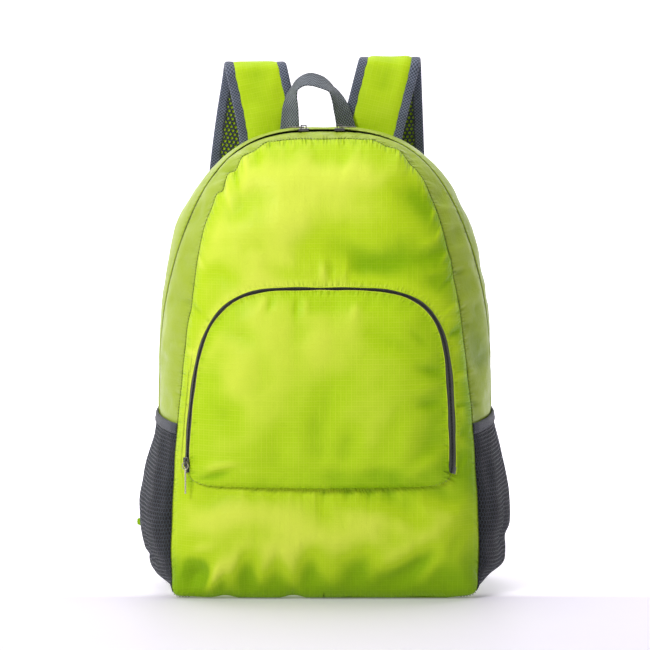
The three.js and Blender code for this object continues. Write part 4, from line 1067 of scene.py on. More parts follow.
def stitches(name, line, out, length, gap, finish, size=0.55, sink=0.15):
    """A row of stitches: short six-sided capsules laid end to end along a line on a surface."""
    even, ways, _ = even_line(line, length + gap)
    lift = np.stack(
        [np.interp(np.linspace(0, 1, len(even)), np.linspace(0, 1, len(out)), out[:, k]) for k in range(3)],
        -1
    )
    lift = unit(lift)
    across = unit(np.cross(ways, lift))
    round_way = np.linspace(0, 2 * np.pi, 6, endpoint=False)
    rings = []
    for along, fat in ((-0.5, 0.45), (-0.3, 1.0), (0.3, 1.0), (0.5, 0.45)):
        middle = even + ways * along * length + lift * (size / 2 - sink) * (1 if fat == 1 else 0.4)
        circle = across[:, None, :] * np.cos(round_way)[None, :, None] + lift[:, None, :] * np.sin(round_way)[None, :, None] * 0.7
        rings.append(middle[:, None, :] + circle * size / 2 * fat)
    points = np.stack(rings, 1)
    count = len(even)
    single = grid_faces(4, 6, 0, True).tolist()
    ends = [[5, 4, 3, 2, 1, 0], [18, 19, 20, 21, 22, 23]]
    faces = [[v + 24 * k for v in face] for k in range(count) for face in single + ends]
    flat = np.stack([points[..., 0] + points[..., 1], points[..., 2]], -1)
    return build(name, points, faces, finish, flat=flat)


def net_faces(cells_u, cells_v, hole):
    """Hexagons with a hexagonal hole on a staggered lattice; returns lattice places and quads round each hole."""
    column, row = np.meshgrid(np.arange(cells_u), np.arange(cells_v))
    centre_u = (column + 0.5 * (row % 2)).ravel()
    centre_v = (row * 0.75).ravel()
    corner = np.radians(np.arange(6) * 60 + 30)
    ring_u = np.cos(corner) / np.cos(np.radians(30)) / 2
    ring_v = np.sin(corner) / 2
    outer = np.stack([centre_u[:, None] + ring_u, centre_v[:, None] + ring_v], -1)
    inner = np.stack([centre_u[:, None] + ring_u * hole, centre_v[:, None] + ring_v * hole], -1)
    places = np.concatenate([outer.reshape(-1, 2), inner.reshape(-1, 2)])
    count = len(centre_u)
    number = np.arange(count * 6).reshape(count, 6)
    after = np.roll(number, -1, axis=1)
    quads = np.stack([number, after, after + count * 6, number + count * 6], -1).reshape(-1, 4)
    _, first, inverse = np.unique(np.round(places * 240).astype(int), axis=0, return_index=True, return_inverse=True)
    return places[first], inverse.ravel()[quads]


def net_piece(name, width, height, pitch_u, pitch_v, hole, surface, finish, nodes, thick):
    """A net of hexagonal holes over a surface given by shares of its width and height, walls and all."""
    cells_u, cells_v = int(width / pitch_u), int(height / pitch_v / 0.75)
    places, quads = net_faces(cells_u, cells_v, hole)
    share_u = np.clip(places[:, 0] / (cells_u - 0.5), 0, 1)
    share_v = np.clip(places[:, 1] / ((cells_v - 1) * 0.75), 0, 1)
    points = surface(share_u, share_v)
    size = np.linalg.norm(points[quads[:, 2]] - points[quads[:, 0]], axis=1)
    quads = quads[size > 0.15]
    flat = np.stack([share_u * width, share_v * height], -1)
    return build(name, points, quads, finish, nodes=nodes, flat=flat, wall=thick)


HEIGHT_ANGLES = np.linspace(-FOOT_ANGLE, np.pi / 2, 1600)


def angle_at_height(height, across, side):
    """The angle at which the band reaches a height, by reading the band's own heights backwards."""
    shape = np.broadcast(height, across).shape
    height, across = (np.broadcast_to(v, shape).ravel() for v in (height, across))
    found = np.empty(height.shape)
    for share in np.unique(np.round(across, 3)):
        at = np.round(across, 3) == share
        heights = band_point(HEIGHT_ANGLES, np.full_like(HEIGHT_ANGLES, share))[:, 2]
        found[at] = np.interp(height[at], heights, HEIGHT_ANGLES)
    return (found if side > 0 else np.pi - found).reshape(shape)


# Folds of the side nets: shares across and up, turn in degrees, lift in millimetres, side -1, 1 or 0 for both
NET_FOLDS = np.array([
    # across, up, long, broad, turn, lift, side
    [0.16, 0.55, 0.50, 0.05, 82, 2.0, 0],
    [0.30, 0.36, 0.34, 0.05, 76, -2.2, 0],
    [0.22, 0.20, 0.22, 0.04, 70, 1.8, -1],
    [0.55, 0.50, 0.40, 0.08, 100, 1.6, 0],
    [0.42, 0.14, 0.20, 0.05, 84, -2.6, -1],
    [0.34, 0.24, 0.30, 0.05, 100, -2.4, 1],
    [0.72, 0.22, 0.30, 0.07, 110, 1.8, 0],
    [0.80, 0.60, 0.40, 0.07, 86, -1.4, 0],
    [0.50, 0.085, 0.55, 0.05, 0, 5.5, -1],
    [0.50, 0.175, 0.55, 0.022, 0, -2.2, -1],
    [0.45, 0.13, 0.55, 0.07, -4, 6.0, 1],
    [0.45, 0.29, 0.50, 0.045, -6, -3.5, 1],
])


NET_TOP = 1 - (BAND_HEIGHT + GAP) / NET_HEIGHT
NET_SLACK = {}


def net_surface(side, lift):
    """The side pocket's surface: the band's, raised by the CAD's swell, with upright folds, by shares across and up."""

    def surface(share_across, share_up, top=NET_TOP):
        across = 0.004 + 0.981 * share_across
        up = share_up * top
        rim = NET_FOOT_HEIGHT + NET_HEIGHT + NET_RISE * across
        angle = angle_at_height(NET_FOOT_HEIGHT + (rim - NET_FOOT_HEIGHT) * up, across, side)
        ground = band_point(angle, across)
        swell = np.maximum(0, np.sin(np.pi * np.minimum(1, up) ** 0.75)) ** 1.5
        full = NET_BULGE * swell * np.sin(np.pi * across) ** 0.7
        near = NET_FOLDS[(NET_FOLDS[:, 6] == 0) | (NET_FOLDS[:, 6] == side)][:, :6]
        folds = fold_sum(near, across, up) * np.sin(np.pi * np.clip(across, 0, 1)) ** 0.5 * np.clip(up * 6, 0, 1) * np.clip((1.05 - up) * 4, 0, 1)
        folds = folds + ripples(across * 150, up * 150, 30, 31 + side) * 0.4 * np.sin(np.pi * across)
        height = lift * np.clip(across / 0.05, 0.1, 1) + full * 0.84 + folds * 0.8 + 0.9 * (1 - up) ** 4
        points = ground + outward(ground) * height[..., None]
        if side in NET_SLACK:
            points = points + from_grid(
                NET_SLACK[side], np.clip(up / NET_TOP, 0, 1) * 36, np.clip(share_across, 0, 1) * 38
            )
        return points

    return surface


def side_pocket(name, side):
    """The net, a near-black sheet behind it as painted shade for the pocket's inside, the folded band along its top and
    that band's stitches.
    """
    u, v = np.meshgrid(np.linspace(0, 1, 39), np.linspace(0, 1, 37))
    held = (u < 0.02) | (u > 0.98) | (v < 0.03) | (v > 0.97)
    NET_SLACK[side] = settled(net_surface(side, NET_SEAT + NET_THICKNESS)(u, v), held, 0.014, 4.0, 1.6, 60 + side)
    surface = net_surface(side, NET_SEAT + NET_THICKNESS)
    net_piece(f"side_net_cloth_{name}", 160, 139, 3.4, 4.4, 0.80, surface, NET, [f"side_net_{name}"], 0.3)
    # A near-black sheet just behind the net: painted shade for the pocket's inside.
    u, v = np.meshgrid(np.linspace(0, 1, 60), np.linspace(0, 1, 60))
    points = net_surface(side, NET_SEAT + 0.2)(u, v)
    build(
        f"side_net_painted_shade_{name}", points, grid_faces(60, 60), NET_SHADE_SHEET,
        flat=np.stack([u * 156, v * 139], -1), wall=0.3,
    )
    rows = np.linspace(1 - (BAND_HEIGHT + 0.4) / NET_HEIGHT, 1.0, 10)
    u, v = np.meshgrid(np.linspace(0, 1, 90), rows)
    bulge = 1.5 * (1 - ((v - rows.mean()) / (rows[-1] - rows[0]) * 2) ** 4)
    points = net_surface(side, NET_SEAT + 0.9)(u, v, 1.0)
    points = points + outward(points) * bulge[..., None]
    build(
        f"side_band_tape_{name}", points, grid_faces(10, 90), BAND, nodes=[f"side_band_{name}"],
        flat=np.stack([u * 156, v * 148], -1), wall=1.4,
    )
    u = np.linspace(0.01, 0.99, 120)
    line = net_surface(side, NET_SEAT + 0.9)(u, np.full_like(u, rows[2]), 1.0)
    out = outward(line)
    stitches(f"side_band_stitches_{name}", line + out * 1.5, out, 1.9, 0.9, GREY_THREAD)


for label, side in (("left", -1), ("right", 1)):
    side_pocket(label, side)

# Front pocket
POCKET_END_ANGLE = np.arctan2(
    POCKET_OUTLINE["middle"] - POCKET_BASE_HEIGHT - POCKET_ZIP_END, POCKET_OUTLINE["half_width"]
)


def even_angles(outline, start, end, count):
    """Angles at even lengths along an outline."""
    fine = np.linspace(start, end, 4000)
    x, z, _ = outline_point(outline, fine)
    lengths = np.concatenate([[0], np.cumsum(np.hypot(np.diff(x), np.diff(z)))])
    return np.interp(np.linspace(0, lengths[-1], count), lengths, fine)


def pocket_cloth():
    """The pocket's face: rings of its outline over the front cloth, puffed, slack over its lower seam."""
    columns, rings = 420, 62
    angle = even_angles(POCKET_OUTLINE, -POCKET_END_ANGLE, 2 * np.pi - POCKET_END_ANGLE, columns + 1)[:-1]
    share = np.sin(np.pi / 2 * (np.arange(1, rings + 1) / rings) ** 0.9)[:, None]
    whole = outline_point(POCKET_OUTLINE, angle)[2]
    zipped = np.clip((np.sin(angle) + np.sin(POCKET_END_ANGLE)) * 12 + 0.6, 0, 1)
    waver = 0.25 * np.sin(np.arange(columns) / 7.0) + 0.2 * np.sin(np.arange(columns) / 3.1 + 1)
    edge = 1 - (pocket_zip_width(angle) + waver) * zipped / whole
    x, z, _ = outline_point(POCKET_OUTLINE, angle[None, :], share * edge[None, :])
    foot = np.clip(-np.sin(angle) - 0.25, 0, 1)[None, :] * (1 - zipped)[None, :]
    puff = POCKET_PUFF * (1 - share**3) ** 0.9 + 4.5 * foot * np.exp(-(((share - 0.90) / 0.09) ** 2))
    hem = 0.9 * np.exp(-(((share - 1) * 110 / 2.2) ** 2)) * zipped[None, :]
    small = ripples(x, z, 38, 41) * 0.3 + ripples(x, z, 15, 42, 30, 0.6) * 0.14
    along = np.arange(columns)[None, :]
    gather = 0.45 * np.sin(along / 1.7 + 1.3 * np.sin(along / 9)) * np.exp(-((1 - share) * 110) / 7) * (1 - share**20)
    fine = (fold_sum(POCKET_FOLDS, x, z) + small) * (1 - share**14) + gather
    points = over_front(x, z, POCKET_SEAT + puff + hem + fine)
    points[..., 2] -= 5.0 * foot * np.exp(-(((share - 0.94) / 0.07) ** 2))
    grid_x, grid_z = np.meshgrid(PANEL_X, PANEL_Z[24:72])
    grid_share = outline_share(POCKET_OUTLINE, grid_x, grid_z)
    rise = POCKET_SEAT + POCKET_PUFF * (1 - np.minimum(1, grid_share) ** 3) ** 0.9 + fold_sum(POCKET_FOLDS, grid_x, grid_z) * (1 - np.minimum(1, grid_share) ** 14)
    move = settled(over_front(grid_x, grid_z, rise), grid_share > 0.94, 0.013, 10.0, 4.5, 4)
    slack = from_grid(move, (z - PANEL_Z[24]) / PANEL_STEP, (x - PANEL_X[0]) / PANEL_STEP) * (1 - share**20)[..., None]
    points += slack
    # Painted shade in the folds' hollows, the painted light-to-shade gradient, and painted shade in a band just above
    # the lower seam and where the pocket's foot turns under.
    painted_shading = painted_hollow_shade(fine - slack[..., 1] * 0.6, 3.2) + painted_lighting_gradient(x, z) * 0.9 + 0.12
    painted_shading = painted_shading + 0.4 * np.exp(-(((z - POCKET_BASE_HEIGHT - 14) / 13) ** 2)) + 0.5 * foot * np.exp(-(((share - 1.0) / 0.05) ** 2))
    beside = np.stack([1.35 * along + 0 * share, (1 - share) * whole, 0.75 + 0 * x], -1)
    points = np.concatenate([[points[0].mean(0)], points.reshape(-1, 3)])
    painted_shading = np.concatenate([[painted_shading[0].mean()], painted_shading.ravel()])
    beside = np.concatenate([[[0, 99, 0]], beside.reshape(-1, 3)])
    return build(
        "pocket_cloth", points, disc_faces(rings, columns), POCKET_RIPSTOP, nodes=["pocket_face"],
        flat=points[:, [0, 2]], wall=PANEL_THICKNESS, painted_shading=painted_shading, beside=beside,
    )


def pocket_line(angle, off, lift):
    """A line beside the pocket's outline, off millimetres outside it, lifted from the front cloth."""
    whole = outline_point(POCKET_OUTLINE, angle)[2]
    x, z, _ = outline_point(POCKET_OUTLINE, angle, 1 + off / whole)
    return over_front(x, z, np.broadcast_to(lift, angle.shape))


def strip(name, angle, offs, lifts, finish, nodes=(), wall=0.4, painted_shading=None):
    """A strip along the pocket's outline: one line for each pair of distance outside it and lift."""
    lines = np.stack([pocket_line(angle, off, lift) for off, lift in zip(offs, lifts)])
    length = np.arange(len(angle)) * 1.4
    flat = np.stack(
        [
            np.broadcast_to(length, lines.shape[:2]),
            np.broadcast_to(np.array([np.mean(o) for o in offs])[:, None], lines.shape[:2])
        ],
        -1
    )
    painted_shading = None if painted_shading is None else np.broadcast_to(painted_shading, lines.shape[:2])
    return build(
        name, lines, grid_faces(len(offs), len(angle)), finish, nodes=nodes, flat=flat, wall=wall,
        painted_shading=painted_shading
    )


def coil(name, line, out, across, pitch, reach, size, finish, body_nodes=()):
    """A zip's coil: a short bent bead across the zip at every pitch, seen as fine teeth."""
    even, ways, _ = even_line(line, pitch)
    share = np.linspace(0, 1, len(even))
    old = np.linspace(0, 1, len(out))
    up = unit(np.stack([np.interp(share, old, out[:, k]) for k in range(3)], -1))
    side = unit(np.stack([np.interp(share, old, across[:, k]) for k in range(3)], -1))
    places = ((-1.0, 0.15, 0.6), (-0.75, 0.8, 1.0), (0.0, 1.0, 1.0), (0.75, 0.8, 1.0), (1.0, 0.15, 0.6))
    ring = np.linspace(0, 2 * np.pi, 6, endpoint=False)
    rings = []
    for sideways, height, fat in places:
        middle = even + side * sideways * reach + up * height * size * 0.6
        circle = ways[:, None, :] * np.cos(ring)[None, :, None] * 0.36 * pitch + up[:, None, :] * np.sin(ring)[None, :, None] * size * 0.45
        rings.append(middle[:, None, :] + circle * fat)
    points = np.stack(rings, 1)
    single = grid_faces(5, 6, 0, True).tolist() + [[5, 4, 3, 2, 1, 0], [24, 25, 26, 27, 28, 29]]
    faces = [[v + 30 * k for v in face] for k in range(len(even)) for face in single]
    return build(name, points, faces, finish, nodes=body_nodes)


def pocket_zip():
    """Both tapes as one dark strip, its coil, and the folded edge of the front cloth outside it."""
    angle = even_angles(POCKET_OUTLINE, -POCKET_END_ANGLE, np.pi + POCKET_END_ANGLE, 420)
    gap = pocket_zip_width(angle)
    offs = [
        gap * near + far for near,
        far in ((-1, -1.0), (-0.75, 0), (-0.35, 0), (0, 0), (0.35, 0), (0.75, 0), (1, 1.0))
    ]
    strip("pocket_zip_tape", angle, offs, [2.1, 2.7, 2.85, 2.5, 2.85, 2.7, 2.1], ZIP_TAPE, ["pocket_zip"])
    line = pocket_line(angle, np.zeros_like(angle), 2.75)
    across = unit(pocket_line(angle, np.ones_like(angle), 2.75) - line)
    wide_coil = 0.95
    coil("pocket_zip_coil", line, outward(line), across, 1.25, wide_coil, 1.3, ZIP_COIL)
    wave = 0.2 * np.sin(np.arange(len(angle)) / 5.0)
    ends = np.clip(np.minimum(np.arange(len(angle)), np.arange(len(angle))[::-1]) / 9, 0, 1)
    edge = [gap + wave + o for o in (0.0, 0.0, 0.35, 0.9, 1.6, 2.6)]
    lifts = [1.2 + (lift - 1.2) * ends for lift in (2.4, 3.05, 3.15, 2.5, 1.3, -0.6)]
    x, z, _ = outline_point(POCKET_OUTLINE, angle)
    # Painted light: the raised hem and lip beside the zip are set paler, the lip most, over the painted light-to-shade
    # gradient.
    strip("pocket_hem", angle, edge, lifts, RIPSTOP, wall=0.4, painted_shading=painted_lighting_gradient(x, z) - 0.25)
    edge = [-gap - wave - o for o in (0.0, 0.0, 0.25, 0.6, 1.3)]
    lifts = [2.2 + (lift - 2.2) * ends for lift in (3.0, 3.85, 3.95, 3.5, 2.4)]
    strip("pocket_lip", angle, edge[::-1], lifts[::-1], RIPSTOP, wall=0.4, painted_shading=painted_lighting_gradient(x, z) - 0.75)
    seam_angle = even_angles(POCKET_OUTLINE, np.pi + POCKET_END_ANGLE, 2 * np.pi - POCKET_END_ANGLE, 200)
    under = pocket_line(seam_angle, np.full_like(seam_angle, 1.6), 0.9)
    stitches("pocket_seam_stitches", under, outward(under), 2.0, 1.1, LIME_THREAD)


pocket_cloth()
pocket_zip()

# Seams of the body
seam_angles = np.linspace(-FOOT_ANGLE + 0.02, np.pi + FOOT_ANGLE - 0.02, 900)
seam = band_point(seam_angles, np.zeros_like(seam_angles))
stitches("front_seam_stitches", seam + outward(seam) * 0.35, outward(seam), 1.7, 1.0, DARK_THREAD, 0.5)
back_seam = band_point(seam_angles, np.ones_like(seam_angles))
stitches(
    "back_seam_stitches", back_seam + outward(back_seam) * 0.35, outward(back_seam), 1.7, 1.0, DARK_THREAD,
    0.7
)

# Main zip
zip_angles = BAND_ANGLES[band_point(BAND_ANGLES, zip_place(BAND_ANGLES))[:, 2] > ZIP_FOOT_HEIGHT - 4]


def main_zip():
    """The dark tape under the gussets' edges and the coil in the gap between them."""
    reach = band_reach(zip_angles)
    lines = []
    for off, sink in ((-4.5, 1.5), (-2.5, 1.3), (0, 1.1), (2.5, 1.3), (4.5, 1.5)):
        line = band_point(zip_angles, zip_place(zip_angles) + off / reach)
        lines.append(line - outward(line) * sink)
    lines = np.stack(lines)
    length = np.broadcast_to(seam_length(zip_angles), lines.shape[:2])
    flat = np.stack([length, np.broadcast_to(np.array([-4.5, -2.5, 0, 2.5, 4.5])[:, None], lines.shape[:2])], -1)
    build(
        "main_zip_tape", lines, grid_faces(5, len(zip_angles)), ZIP_TAPE, nodes=["main_zip"],
        flat=flat, wall=0.4
    )
    middle = band_point(zip_angles, zip_place(zip_angles))
    middle = middle - outward(middle) * 0.9
    across = unit(lines[3] - lines[2])
    coil("main_zip_coil", middle, outward(middle), across, 1.4, 1.6, 0.9, ZIP_COIL)


main_zip()


def refined(node, finish, body, bevel):
    """A merged copy of a hard CAD node with softened edges."""
    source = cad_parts[node]
    mesh = source.data.copy()
    mesh.materials.clear()
    mesh.materials.append(finish)
    piece = bpy.data.objects.new(f"{node}_finished", mesh)
    bpy.context.scene.collection.objects.link(piece)
    work = bmesh.new()
    work.from_mesh(mesh)
    bmesh.ops.remove_doubles(work, verts=work.verts, dist=1e-6)
    bmesh.ops.dissolve_limit(work, angle_limit=np.radians(1), verts=work.verts, edges=work.edges)
    bmesh.ops.recalc_face_normals(work, faces=work.faces)
    work.to_mesh(mesh)
    work.free()
    softened = piece.modifiers.new("edges", "BEVEL")
    softened.width = bevel * MM
    softened.segments = 3
    softened.limit_method = "ANGLE"
    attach(piece, body)
    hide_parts(node)
    return piece


for ending in ("left", "right"):
    refined(f"main_slider_{ending}", GUNMETAL, "bag", 0.3)
    refined(f"main_pull_{ending}", DULL_NICKEL, f"main_pull_{ending}", 0.25)
    refined(f"adjuster_{ending}", PLASTIC, "bag", 0.7)

# The pocket's slider and pull, in a frame at the pull's hinge: along the hinge, outwards, up
HINGE = np.array([-122.155, -83.031, 123.571])
HINGE_WAY = np.array([0.966615, -0.256232, 0.0])
HINGE_OUT = np.array([-0.256232, -0.966615, 0.0])


def at_hinge(local):
    """Points given along the hinge, outwards and up from it."""
    return HINGE + local[..., :1] * HINGE_WAY + local[..., 1:2] * HINGE_OUT + local[..., 2:3] * np.array([0, 0, 1.0])


def slider_part(name, outline, low, high, finish, body, nodes=(), bevel=0.25):
    """A plate with the given outline (along the hinge, up) between two heights, its edges rounded."""
    outline = np.asarray(outline, float)
    layers = [np.stack([outline[:, 0], np.full(len(outline), height), outline[:, 1]], -1) for height in (low, high)]
    count = len(outline)
    faces = grid_faces(2, count, 0, True).tolist() + [list(range(count))[::-1], list(range(count, 2 * count))]
    centre = at_hinge(np.stack(layers).reshape(-1, 3)).mean(0)
    piece = build(name, at_hinge(np.stack(layers)), faces, finish, body, nodes, centre=centre)
    softened = piece.modifiers.new("edges", "BEVEL")
    softened.width, softened.segments, softened.limit_method = bevel * MM, 3, "ANGLE"
    return piece


def wire(name, line, radius, finish, body, closed, nodes=(), flatten=1.0, sides=14):
    """A round wire along a line in the hinge's frame; flatten thins it outwards."""
    line = np.asarray(line, float)
    ways = unit(np.roll(line, -1, 0) - np.roll(line, 1, 0)) if closed else unit(np.gradient(line, axis=0))
    out = np.array([0, 1.0, 0])
    out = unit(out - ways * (ways @ out)[:, None])
    level = np.cross(ways, out)
    turn = np.linspace(0, 2 * np.pi, sides, endpoint=False)[None, :, None]
    radius = np.broadcast_to(np.asarray(radius, float), len(line))[:, None, None]
    points = line[:, None] + radius * (level[:, None] * np.cos(turn) + out[:, None] * np.sin(turn) * flatten)
    if closed:
        points = np.concatenate([points, points[:1]])
        number = np.arange(len(line) * sides).reshape(len(line), sides)
        number = np.concatenate([number, number[:1]])
        number = np.concatenate([number, number[:, :1]], 1)
        faces = np.stack(
            [number[:-1, :-1], number[:-1, 1:], number[1:, 1:], number[1:, :-1]], -1
        ).reshape(-1, 4).tolist()
        points = points[:-1]
    else:
        last = (len(line) - 1) * sides
        faces = grid_faces(len(line), sides, 0, True).tolist() + [
            list(range(sides))[::-1], list(range(last, last + sides))
        ]
    # build() turns the faces away from the wire's middle
    centre = at_hinge(points).reshape(-1, 3).mean(0)
    piece = build(name, at_hinge(points), faces, finish, body, nodes, centre=centre)
    return piece


def pocket_slider():
    """The slider's shield-shaped plates and bridge, and its pull: an oval ring and a long thin bar."""
    shield = [
        (-2.5, 3.6), (-1.7, 4.4), (1.7, 4.4), (2.5, 3.6), (2.5, 0.4), (1.8, -2.6), (1.5, -4.4), (-1.5, -4.4),
        (-1.8, -2.6), (-2.5, 0.4)
    ]
    slider_part("pocket_slider_plate", shield, -2.3, -1.2, GUNMETAL, "bag", ["pocket_slider"], 0.35)
    slider_part("pocket_slider_foot", [(x * 0.9, z * 0.95) for x, z in shield], -4.0, -3.1, GUNMETAL, "bag", (), 0.3)
    turn = np.linspace(0, np.pi, 15)
    arch = np.stack([0 * turn, -1.3 + 2.9 * np.sin(turn) ** 0.7, 2.7 * np.cos(turn)], -1)
    wire("pocket_slider_bridge", arch, 0.62, GUNMETAL, "bag", False)
    turn = np.linspace(0, 2 * np.pi, 36, endpoint=False)
    ring = np.stack([2.6 * np.sin(turn), 0.15 + 0 * turn, -2.9 + 3.2 * np.cos(turn)], -1)
    wire("pocket_pull_ring", ring, 0.5, SILVER, "pocket_pull", True, ["pocket_pull"])
    bar = np.linspace(0, 1, 16)
    line = np.stack([0 * bar, 0.15 + 0 * bar, -5.8 - 21.8 * bar], -1)
    width = 0.78 - 0.18 * bar + 0.22 * np.exp(-(((bar - 0.97) / 0.05) ** 2))
    wire("pocket_pull_bar", line, width, SILVER, "pocket_pull", False, (), 0.62)


pocket_slider()


def strap(name, side):
    """The padded lime face, the net on the wearer's side over its lime backing, two bindings and their stitches."""
    middle, wide, thick, length = strap_frames(side)
    facing = STRAP_WIDTH - 2 * STRAP_EDGE_WIDTH + 3
    section = rounded_section(facing, STRAP_PADDING + 0.6, 64, 7.0)
    across = section[:, 0]
    top = section[:, 1] > 0
    shape = np.broadcast_to(section, (len(middle), *section.shape)).copy()
    crowned = 0.9 * (1 - (across / (facing / 2)) ** 2)
    folds = ripples(across[None, :] * 1.0, length[:, None], 17, 51 + side, 0, 0.26) * (0.75 if side > 0 else 0.3)
    columns, pick = np.linspace(-facing / 2, facing / 2, 11), np.linspace(
        0, len(length) - 1, int(length[-1] / 4)
    ).astype(int)
    bed = middle[pick, None] + wide[pick, None] * columns[None, :, None] + thick[pick, None] * STRAP_PADDING / 2
    held = np.zeros(bed.shape[:2], bool)
    held[:, [0, -1]] = held[[0, -1], :] = True
    move = settled(
        bed, held, 0.03 if side > 0 else 0.015, 3.0, 1.1, 70 + side,
        np.broadcast_to(thick[pick, None], bed.shape)
    )
    row = np.broadcast_to((length / length[-1] * (len(pick) - 1))[:, None], (len(length), len(across)))
    column = np.broadcast_to((across / facing + 0.5) * 10, row.shape)
    folds = folds + np.einsum("ijk,ik->ij", from_grid(move, row, column), thick)
    folds = folds * (1 - (across[None, :] / (facing / 2)) ** 6)
    shape[..., 1] += np.where(top, crowned + folds, 0)
    points, faces = swept((middle, wide, thick), shape)
    flat = np.stack([np.broadcast_to(across, points.shape[:2]), np.broadcast_to(length[:, None], points.shape[:2])], -1)
    # Painted shade in the hollows of the pad's folds; the pad's underside is set to a fixed deeper level.
    pad = build(
        f"strap_pad_{name}", points, faces, RIPSTOP, nodes=[f"strap_{name}"], flat=flat,
        painted_shading=np.where(top, 0.6 * painted_hollow_shade(folds, 3.0) + 0.12, 0.35) + 0 * length[:, None],
    )
    for edge, way in (("inner", -side), ("outer", side)):
        outline = rounded_section(STRAP_EDGE_WIDTH, STRAP_PADDING + NET_THICKNESS + GAP + 1.0, 28, 3.6)
        loops = np.broadcast_to(outline, (len(middle), *outline.shape)).copy()
        loops[..., 0] += way * (STRAP_WIDTH - STRAP_EDGE_WIDTH) / 2
        loops[..., 1] -= (NET_THICKNESS + GAP) / 2
        inside = np.clip(-way * outline[:, 0] / (STRAP_EDGE_WIDTH / 2), 0, 1)
        loops[..., 0] += -way * inside * (0.35 * np.sin(length / 3.3) + 0.3 * np.sin(length / 1.9))[:, None]
        loops[..., 1] += (0.12 * np.sin(length / 1.45))[:, None] * np.sign(outline[:, 1]) * inside
        points, faces = swept((middle, wide, thick), loops)
        around = np.concatenate([[0], np.cumsum(np.hypot(*np.diff(outline, axis=0).T))])
        flat = np.stack(
            [np.broadcast_to(around, points.shape[:2]), np.broadcast_to(length[:, None], points.shape[:2])],
            -1
        )
        build(
            f"strap_binding_{edge}_{name}", points, faces, BINDING,
            nodes=[f"strap_edge_{edge}_{name}"], flat=flat,
        )
        off = way * (STRAP_WIDTH / 2 - STRAP_EDGE_WIDTH + 1.6)
        for face, lift in (("face", 2.85 - 0.75), ("back", -3.55)):
            line = middle + wide * off + thick * lift
            stitches(
                f"strap_stitches_{edge}_{face}_{name}", line, thick * np.sign(lift), 1.9, 1.0, GREY_THREAD,
                0.5
            )
    width = STRAP_WIDTH - 2 * STRAP_EDGE_WIDTH + 4
    under = -STRAP_PADDING / 2 - 0.9

    def surface(share_u, share_v):
        at = share_v * length[-1]
        place = [np.stack([np.interp(at, length, part[:, k]) for k in range(3)], -1) for part in (middle, wide, thick)]
        return place[0] + place[1] * ((share_u - 0.5) * width)[..., None] + place[2] * under

    net_piece(
        f"strap_net_cloth_{name}", width, length[-1], 3.6, 4.6, 0.66, surface, NET,
        [f"strap_net_{name}"], 0.5
    )


for label, side in (("left", -1), ("right", 1)):
    strap(label, side)


def webbed(name, frames, width, thickness, nodes, rib=0.16):
    """Flat webbing: a rounded section carried along its line, with ribs woven across it and a seam along each edge."""
    middle, wide, thick, length = frames
    section = rounded_section(width, thickness, 60, 6.0)
    loops = np.broadcast_to(section, (len(middle), *section.shape)).copy()
    cross = np.sin(2 * np.pi * length / 2.4)[:, None] * np.cos(2 * np.pi * section[:, 0] / 2.6)[None, :]
    inner = 1 - np.abs(section[:, 0] / (width / 2)) ** 8
    loops[..., 1] += rib * cross * np.sign(section[:, 1]) * inner
    points, faces = swept((middle, wide, thick), loops)
    flat = np.stack(
        [np.broadcast_to(section[:, 0], points.shape[:2]), np.broadcast_to(length[:, None], points.shape[:2])],
        -1
    )
    return build(name, points, faces, WEBBING, nodes=nodes, flat=flat)


webbed("haul_loop_webbing", haul_frames(0.6), HAUL_WIDTH, HAUL_THICKNESS, ["haul_loop"])


ADJUSTER_HEIGHT = 22.0
ANCHOR_HEIGHT = 46.0
ANCHOR_LENGTH = 30.0
ANCHOR_WIDTH = 34.0
ANCHOR_TIP = {-1: 9.0, 1: 4.0}


def lower_webbing(name, side):
    """The webbing from the adjuster down to the anchor tab, and the tab: a tapered fold of cloth."""
    middle, wide, thick, _ = (part[-1] for part in strap_frames(side))
    up = unit(np.cross(wide, thick))
    up = up * np.sign(up[2])
    back = np.array([0, 1.0, 0])
    seam = band_point(angle_at_height(np.array([ANCHOR_HEIGHT]), np.array([1.0]), side), np.array([1.0]))[0]
    root = seam + back * (1 + CLOTH + 2)
    out = unit(np.array([side, 0.35, 0]))
    start = middle - up * (GAP + ADJUSTER_HEIGHT / 3) + back * 3.3
    end = root + out * ANCHOR_LENGTH / 2 + back * 5.3
    slack = start + (end - start) * 0.6 + np.array([0, 4.0, -4.0])
    line, ways, length = smooth_line(np.stack([start, start - up * ADJUSTER_HEIGHT, slack, end]), 0.6)
    level = unit(back - ways * ways[:, 1:2])
    webbed(f"lower_webbing_{name}", (line, np.cross(ways, level), level, length), 20.0, 1.6, [f"webbing_{name}"])
    tip = ANCHOR_LENGTH + ANCHOR_TIP[side]
    reach, across = np.meshgrid(np.linspace(-4, tip, 22), np.linspace(-1, 1, 17), indexing="ij")
    half = np.interp(reach, [-4, ANCHOR_LENGTH, tip], [ANCHOR_WIDTH / 2, ANCHOR_WIDTH / 7, ANCHOR_WIDTH / 12])
    normal = unit(np.cross(out, [0, 0, 1.0])) * side
    wave = 0.5 * np.sin(reach / 5 + 2 * across) + 0.3 * np.cos(across * 5) - 1.0 * (np.abs(across) > 0.8)
    points = root + out * reach[..., None] + np.array([0, 0, 1.0]) * (across * half)[..., None] + normal * wave[..., None] * 0.5
    build(
        f"anchor_tab_{name}", points, grid_faces(22, 17), RIPSTOP, nodes=[f"anchor_{name}"],
        flat=np.stack([reach, across * half], -1), wall=1.6, painted_shading=0.9 + 0 * reach, centre=(0, 400, 46),
    )


for label, side in (("left", -1), ("right", 1)):
    lower_webbing(label, side)

